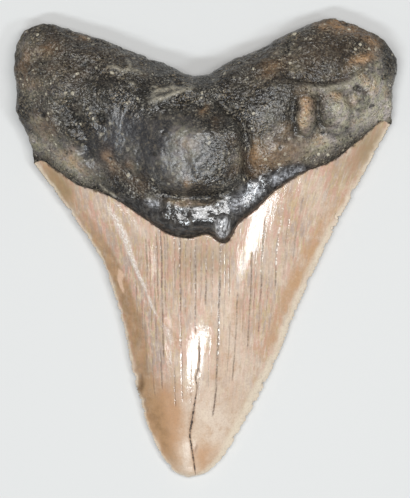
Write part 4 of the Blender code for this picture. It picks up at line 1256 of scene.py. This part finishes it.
    # Painted highlight: the scar's beads are coloured near white, and the same mask raises a small bump.
    scar_ridge_and_highlight = skin.scaled(skin.math("ABSOLUTE", skin.read("scar_side")), 1.0, 0.1)
    scar_ridge_and_highlight = skin.math("MULTIPLY", skin.math("MULTIPLY", scar_ridge_and_highlight, skin.read("scar_and_highlight")),
                        skin.scaled(skin.noise(body, 1900.0, 2.0, 0.6), 0.44, 0.56, 0.4, 1.0))
    tone = skin.dye(tone, scar_ridge_and_highlight, 0.9, 248, 240, 232)
    ragged = skin.math("ADD", skin.math("ABSOLUTE", skin.read("crack")),
                         skin.scaled(skin.noise(body, 1300.0, 3.0, 0.7), 0.3, 0.7, -0.9, 0.7))
    crack = skin.math("MULTIPLY", skin.scaled(ragged, 1.1, 0.5), skin.scaled(beads, 0.36, 0.5, 0.5, 1.0))
    halo = skin.scaled(ragged, 4.5, 1.0, 0.0, 0.4)
    tone = skin.mix(halo, tone, colour(158, 120, 90))
    tone = skin.mix(crack, tone, colour(62, 46, 37))
    # A dark line where the enamel meets the root, partly the joint and partly painted shade at the foot of
    # the step.
    seam_and_shade = skin.math("ADD", skin.read("border"), skin.scaled(mottle, 0.3, 0.7, -0.4, 0.4))
    seam_and_shade = skin.scaled(seam_and_shade, -0.4, 0.1)
    tone = skin.dye(tone, seam_and_shade, 0.8, 62, 48, 38)
    skin.feed(skin.shader.inputs["Base Color"], tone)
    dull = skin.math("MAXIMUM", crack, skin.math("MULTIPLY", skin.read("rim"), 0.8))
    dull = skin.math("MAXIMUM", dull, skin.scaled(rise, 14.0, 6.0, 0.0, 0.7))
    gloss = skin.scaled(mottle, 0.3, 0.7, 0.07, 0.13)
    skin.feed(skin.shader.inputs["Roughness"], skin.math("MULTIPLY_ADD", dull, 0.3, gloss))
    flutes = skin.bump(fine_streaks, 0.00002)
    pitted = skin.bump(skin.noise(body, 900.0, 3.0, 0.6), 0.00002, flutes)
    dark_lines = skin.math("MAXIMUM", hairs, crack)
    cracked = skin.bump(skin.math("SUBTRACT", 1.0, dark_lines), 0.00005, pitted)
    scarred = skin.bump(scar_ridge_and_highlight, 0.00012, cracked)
    skin.feed(skin.shader.inputs["Normal"], scarred)
    return skin.material


# %% [markdown]
# ## Root bone
# The root is bone, dyed almost black and polished wet by handling, with sand grains still set in its
# pores. Three scales make it: stains some millimetres wide from the masks, mottling of about a
# millimetre, and grains of a third of a millimetre that catch the light. Among the masks are painted
# shade in grooves, holes and at the border, and painted highlights on lumps, the block and the
# bourlette. The bourlette is the same dark stain on smooth tissue, so it is a glossier band within
# this finish.

# %% The root's finish
def bone_finish():
    """Dark bone with rust and ash stains, pale sand grains, black pores, a glossy bourlette, and painted
    shade and highlights.
    """
    root = Finish("root_bone")
    body = root.add("ShaderNodeTexCoord", {}, "Object")
    clouds = root.noise(body, 170.0, 4.0, 0.65)
    mottle = root.noise(body, 700.0, 4.0, 0.8)
    salt = root.noise(body, 1900.0, 3.0, 0.8)
    pepper = root.noise(root.stretch(body, 1.0, 1.0, 1.3), 1500.0, 3.0, 0.8)
    lip, polish = root.read("bourlette"), root.read("polish")
    dry = root.math("SUBTRACT", 1.0, lip)
    tone = root.mix(root.scaled(clouds, 0.38, 0.62), colour(28, 26, 25), colour(56, 53, 48))
    umber = root.math("MULTIPLY", root.read("umber"), root.scaled(mottle, 0.35, 0.6, 0.4, 1.0))
    tone = root.dye(tone, umber, 0.8, 96, 78, 61)
    # Ash stains, and painted highlights on the lumps, the block and the rims, from the ash and sheen mask.
    ash_and_sheen = root.math("MULTIPLY", root.read("ash_and_sheen"), root.scaled(mottle, 0.36, 0.58, 0.5, 1.05))
    ash_hue = root.noise(body, 420.0, 3.0, 0.7)
    ash_and_sheen_tone = root.mix(root.scaled(ash_hue, 0.38, 0.62), colour(190, 185, 157), colour(193, 182, 176))
    ash_and_sheen_tone = root.mix(root.scaled(clouds, 0.5, 0.66, 0.0, 0.7), ash_and_sheen_tone, colour(206, 172, 132))
    tone = root.mix(root.math("MULTIPLY", ash_and_sheen, 0.97), tone, ash_and_sheen_tone)
    rust = root.math("MULTIPLY", root.read("rust"), root.scaled(mottle, 0.34, 0.56, 0.5, 1.0))
    tone = root.dye(tone, rust, 0.8, 204, 160, 116)
    # Dark stains and painted shade, from the soot and shade mask.
    tone = root.dye(tone, root.read("soot_and_shade"), 0.85, 34, 33, 34)
    tone = root.mix(root.scaled(polish, 0.4, 1.0, 0.0, 0.45), tone, colour(66, 66, 71))
    tone = root.mix(root.scaled(mottle, 0.52, 0.66, 0.0, 0.5), tone, colour(128, 118, 102))
    tone = root.mix(root.scaled(root.read("hollow"), 0.15, 0.9, 0.0, 0.85), tone, colour(26, 24, 22))
    # Painted shade inside the holes.
    tone = root.mix(root.read("shaded_hole"), tone, colour(16, 15, 15))
    dusty = root.math("MULTIPLY", root.scaled(root.noise(body, 230.0, 2.0), 0.36, 0.6, 0.3, 1.0), dry)
    dusty = root.math("MULTIPLY", dusty, root.scaled(polish, 0.2, 1.0, 1.0, 0.3))
    peppered = root.math("MULTIPLY", root.scaled(pepper, 0.5, 0.64, 0.0, 0.8),
                              root.scaled(polish, 0.2, 1.0, 1.0, 0.4))
    tone = root.mix(peppered, tone, colour(24, 22, 21))
    salt_tone = root.mix(root.scaled(clouds, 0.4, 0.6), colour(170, 154, 128), colour(172, 167, 154))
    salted = root.math("MULTIPLY", root.scaled(salt, 0.52, 0.62, 0.0, 0.66), dusty)
    tone = root.mix(salted, tone, salt_tone)
    wobble = root.add("ShaderNodeTexNoise", {"Vector": body, "Scale": 1400.0, "Detail": 2.0}, "Color")
    warped = root.add("ShaderNodeVectorMath", {0: wobble, 1: (0.0007, 0.0007, 0.0007), 2: body},
                           operation="MULTIPLY_ADD")
    lottery = root.scaled(root.cells(warped, 800.0, "Color"), 0.62, 0.95, 0.0, 0.42)
    grains = root.scaled(root.math("SUBTRACT", root.cells(warped, 800.0), lottery), 0.04, -0.08)
    grains = root.math("MULTIPLY", grains, dusty)
    tone = root.dye(tone, grains, 0.85, 205, 196, 174)
    lip_tone = root.mix(root.scaled(mottle, 0.4, 0.66), colour(34, 32, 31), colour(82, 78, 73))
    tone = root.mix(root.math("MULTIPLY", lip, 0.8), tone, lip_tone)
    # Pale scratches on the root, and painted highlights on the bourlette in a bluish white, broken up by
    # noise.
    scratch_and_sheen_mask = root.math("MULTIPLY", root.read("scratch_and_sheen"), root.scaled(mottle, 0.36, 0.56, 0.25, 0.9))
    lip_sheen_breakup = root.noise(root.stretch(body, 1.0, 1.8, 1.0), 1100.0, 3.0, 0.7)
    lip_sheen_breakup = root.scaled(lip_sheen_breakup, 0.42, 0.6, 0.2, 1.2)
    lip_sheen_share = root.math("MULTIPLY_ADD", lip, root.math("SUBTRACT", lip_sheen_breakup, 1.0), 1.0)
    scratch_and_sheen_mask = root.math("MULTIPLY", scratch_and_sheen_mask, lip_sheen_share)
    scratch_and_sheen_tone = root.mix(lip, colour(176, 168, 150), colour(186, 187, 192))
    tone = root.mix(scratch_and_sheen_mask, tone, scratch_and_sheen_tone)
    # The nub's pale streaks are partly its own pale colour and partly a painted highlight.
    brushed = root.noise(root.stretch(body, 1.0, 0.45, 1.0), 1500.0, 3.0, 0.7)
    nub_tone_and_sheen = root.mix(root.scaled(brushed, 0.42, 0.6), colour(74, 74, 76), colour(200, 200, 202))
    tone = root.mix(root.math("MULTIPLY", root.read("nub"), 0.9), tone, nub_tone_and_sheen)
    # The step's wall is darkened: partly the dark joint and partly painted shade on the wall that faces the
    # tip.
    from_border = root.math("MULTIPLY_ADD", dry, 0.55, root.read("border"))
    seam_and_shade = root.scaled(root.math("ADD", from_border, root.scaled(mottle, 0.3, 0.7, -0.4, 0.4)),
                            1.0, 0.3)
    tone = root.dye(tone, seam_and_shade, 0.92, 30, 27, 25)
    root.feed(root.shader.inputs["Base Color"], tone)
    matt = root.scaled(mottle, 0.3, 0.7, 0.2, 0.38)
    wet = root.scaled(root.noise(body, 900.0, 3.0, 0.6), 0.4, 0.6, 0.08, 0.34)
    matt = root.math("MULTIPLY_ADD", polish, 0.04, matt)
    roughness = root.add("ShaderNodeMix", {0: lip, 2: matt, 3: wet}, 0, data_type="FLOAT")
    roughness = root.math("MULTIPLY_ADD", root.read("shaded_hole"), 0.4, roughness)
    root.feed(root.shader.inputs["Roughness"], roughness)
    root.feed(root.shader.inputs["IOR"], 1.6)
    lustre = root.math("MULTIPLY", root.scaled(from_border, 0.8, 2.2, 0.1, 0.5),
                            root.scaled(polish, 0.0, 0.8, 0.7, 1.0))
    root.feed(root.shader.inputs["Specular IOR Level"], lustre)
    shiny = root.math("MULTIPLY", root.math("MAXIMUM", lip, root.read("nub")),
                           root.scaled(root.read("border"), 1.4, 2.7))
    root.feed(root.shader.inputs["Coat Weight"], shiny)
    root.feed(root.shader.inputs["Coat Roughness"], 0.12)
    rough_share = root.math("MULTIPLY_ADD", lip, 0.25, root.scaled(polish, 0.0, 1.0, 1.0, 0.4))
    coarse = root.bump(root.noise(body, 750.0, 1.5, 0.5), 0.0007, strength=rough_share)
    height = root.math("MULTIPLY_ADD", grains, 0.3, root.noise(body, 2000.0, 1.0, 0.5))
    gritty = root.bump(height, 0.0003, coarse, root.scaled(polish, 0.0, 1.0, 1.0, 0.12))
    root.feed(root.shader.inputs["Normal"], gritty)
    return root.material


mesh.materials.append(enamel_finish())
mesh.materials.append(bone_finish())
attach(tooth, "root")
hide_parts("tooth")
print("finishes", [material.name for material in mesh.materials])

# %% [markdown]
# ## Floor, light and camera
# The tooth lies on a plain pale floor. A large light overhead fills the shapes. Three small oval ones
# are mirrored by the glassy enamel: the key low on the left draws the bright bar up the middle, the
# one on the right draws the band beside the root, and a weak glint picks out the far left flank. The
# camera looks straight down.

# %% The floor
FLOOR_SIZE = 3.0
floor_mesh = bpy.data.meshes.new("floor")
half_floor = FLOOR_SIZE / 2
floor_corners = [(-half_floor, -half_floor, 0), (half_floor, -half_floor, 0),
                 (half_floor, half_floor, 0), (-half_floor, half_floor, 0)]
floor_mesh.from_pydata(floor_corners, [], [(0, 1, 2, 3)])
floor = bpy.data.objects.new("floor", floor_mesh)
bpy.context.scene.collection.objects.link(floor)
paper = bpy.data.materials.new("pale_paper")
paper.use_nodes = True
paper.node_tree.nodes["Principled BSDF"].inputs["Base Color"].default_value = (0.72, 0.72, 0.71, 1.0)
paper.node_tree.nodes["Principled BSDF"].inputs["Roughness"].default_value = 0.9
floor_mesh.materials.append(paper)


# %% [markdown]
# ## Lights
# A glassy skin mirrors its lights, so their size and place draw the highlights. Each light is an
# oval, which leaves a soft end on a highlight where a rectangle would leave a corner.

# %% The lights
COOL = (0.9, 0.96, 1.0)


def soft_light(name, sideways, upwards, distance, width, height, power, tint):
    """An oval light above the tooth, tilted by two angles from straight overhead, facing it.

    It stands where the tangents of the two angles point, and its width stays level. The tint is a
    share of red, green and blue.
    """
    lamp = bpy.data.lights.new(name, "AREA")
    lamp.shape = "ELLIPSE"
    lamp.color = tint
    lamp.size = width
    lamp.size_y = height
    lamp.energy = power
    holder = bpy.data.objects.new(name, lamp)
    direction = np.array([np.tan(np.radians(sideways)), np.tan(np.radians(upwards)), 1.0])
    direction = direction / np.linalg.norm(direction)
    holder.location = direction * distance
    x_side = np.array([direction[2], 0.0, -direction[0]])
    x_side = x_side / np.linalg.norm(x_side)
    axes = np.stack([x_side, np.cross(direction, x_side), direction], axis=1)
    holder.rotation_euler = Matrix(axes.tolist()).to_euler()
    bpy.context.scene.collection.objects.link(holder)
    return holder


# Each light: name, degrees sideways and upwards, distance, width, height, watts, tint.
WHITE = (1.0, 1.0, 1.0)
LIGHTS = [("key", -10.0, -20.9, 0.9, 0.40, 0.082, 2.4, COOL),
          ("right", 29.5, -11.5, 0.9, 0.14, 0.125, 1.0, COOL),
          ("glint", -43.0, -22.0, 0.9, 0.03, 0.05, 0.1, WHITE),
          ("overhead", 2.0, 4.0, 0.9, 0.78, 0.27, 5.6, WHITE)]
for light in LIGHTS:
    soft_light(*light)
world = bpy.data.worlds.new("studio")
bpy.context.scene.world = world
world.use_nodes = True
world.node_tree.nodes["Background"].inputs["Color"].default_value = (1.0, 1.0, 1.0, 1.0)
world.node_tree.nodes["Background"].inputs["Strength"].default_value = 0.12

# %% [markdown]
# ## Camera
# A long lens from straight above keeps the outline true, with little widening of what stands high.

# %% The camera
LENS = 200.0
SENSOR = 36.0
PICTURE_HEIGHT = 0.1245
MIDDLE = (-0.0002, 0.0)
MIDDLE_HEIGHT = 0.005
camera_data = bpy.data.cameras.new("camera")
camera_data.lens = LENS
camera_data.sensor_width = SENSOR
camera = bpy.data.objects.new("camera", camera_data)
camera.location = (*MIDDLE, MIDDLE_HEIGHT + PICTURE_HEIGHT * LENS / SENSOR)
bpy.context.scene.collection.objects.link(camera)
bpy.context.scene.camera = camera
bpy.context.scene.view_settings.view_transform = "Standard"
print("camera height", round(camera.location.z, 3), "m")
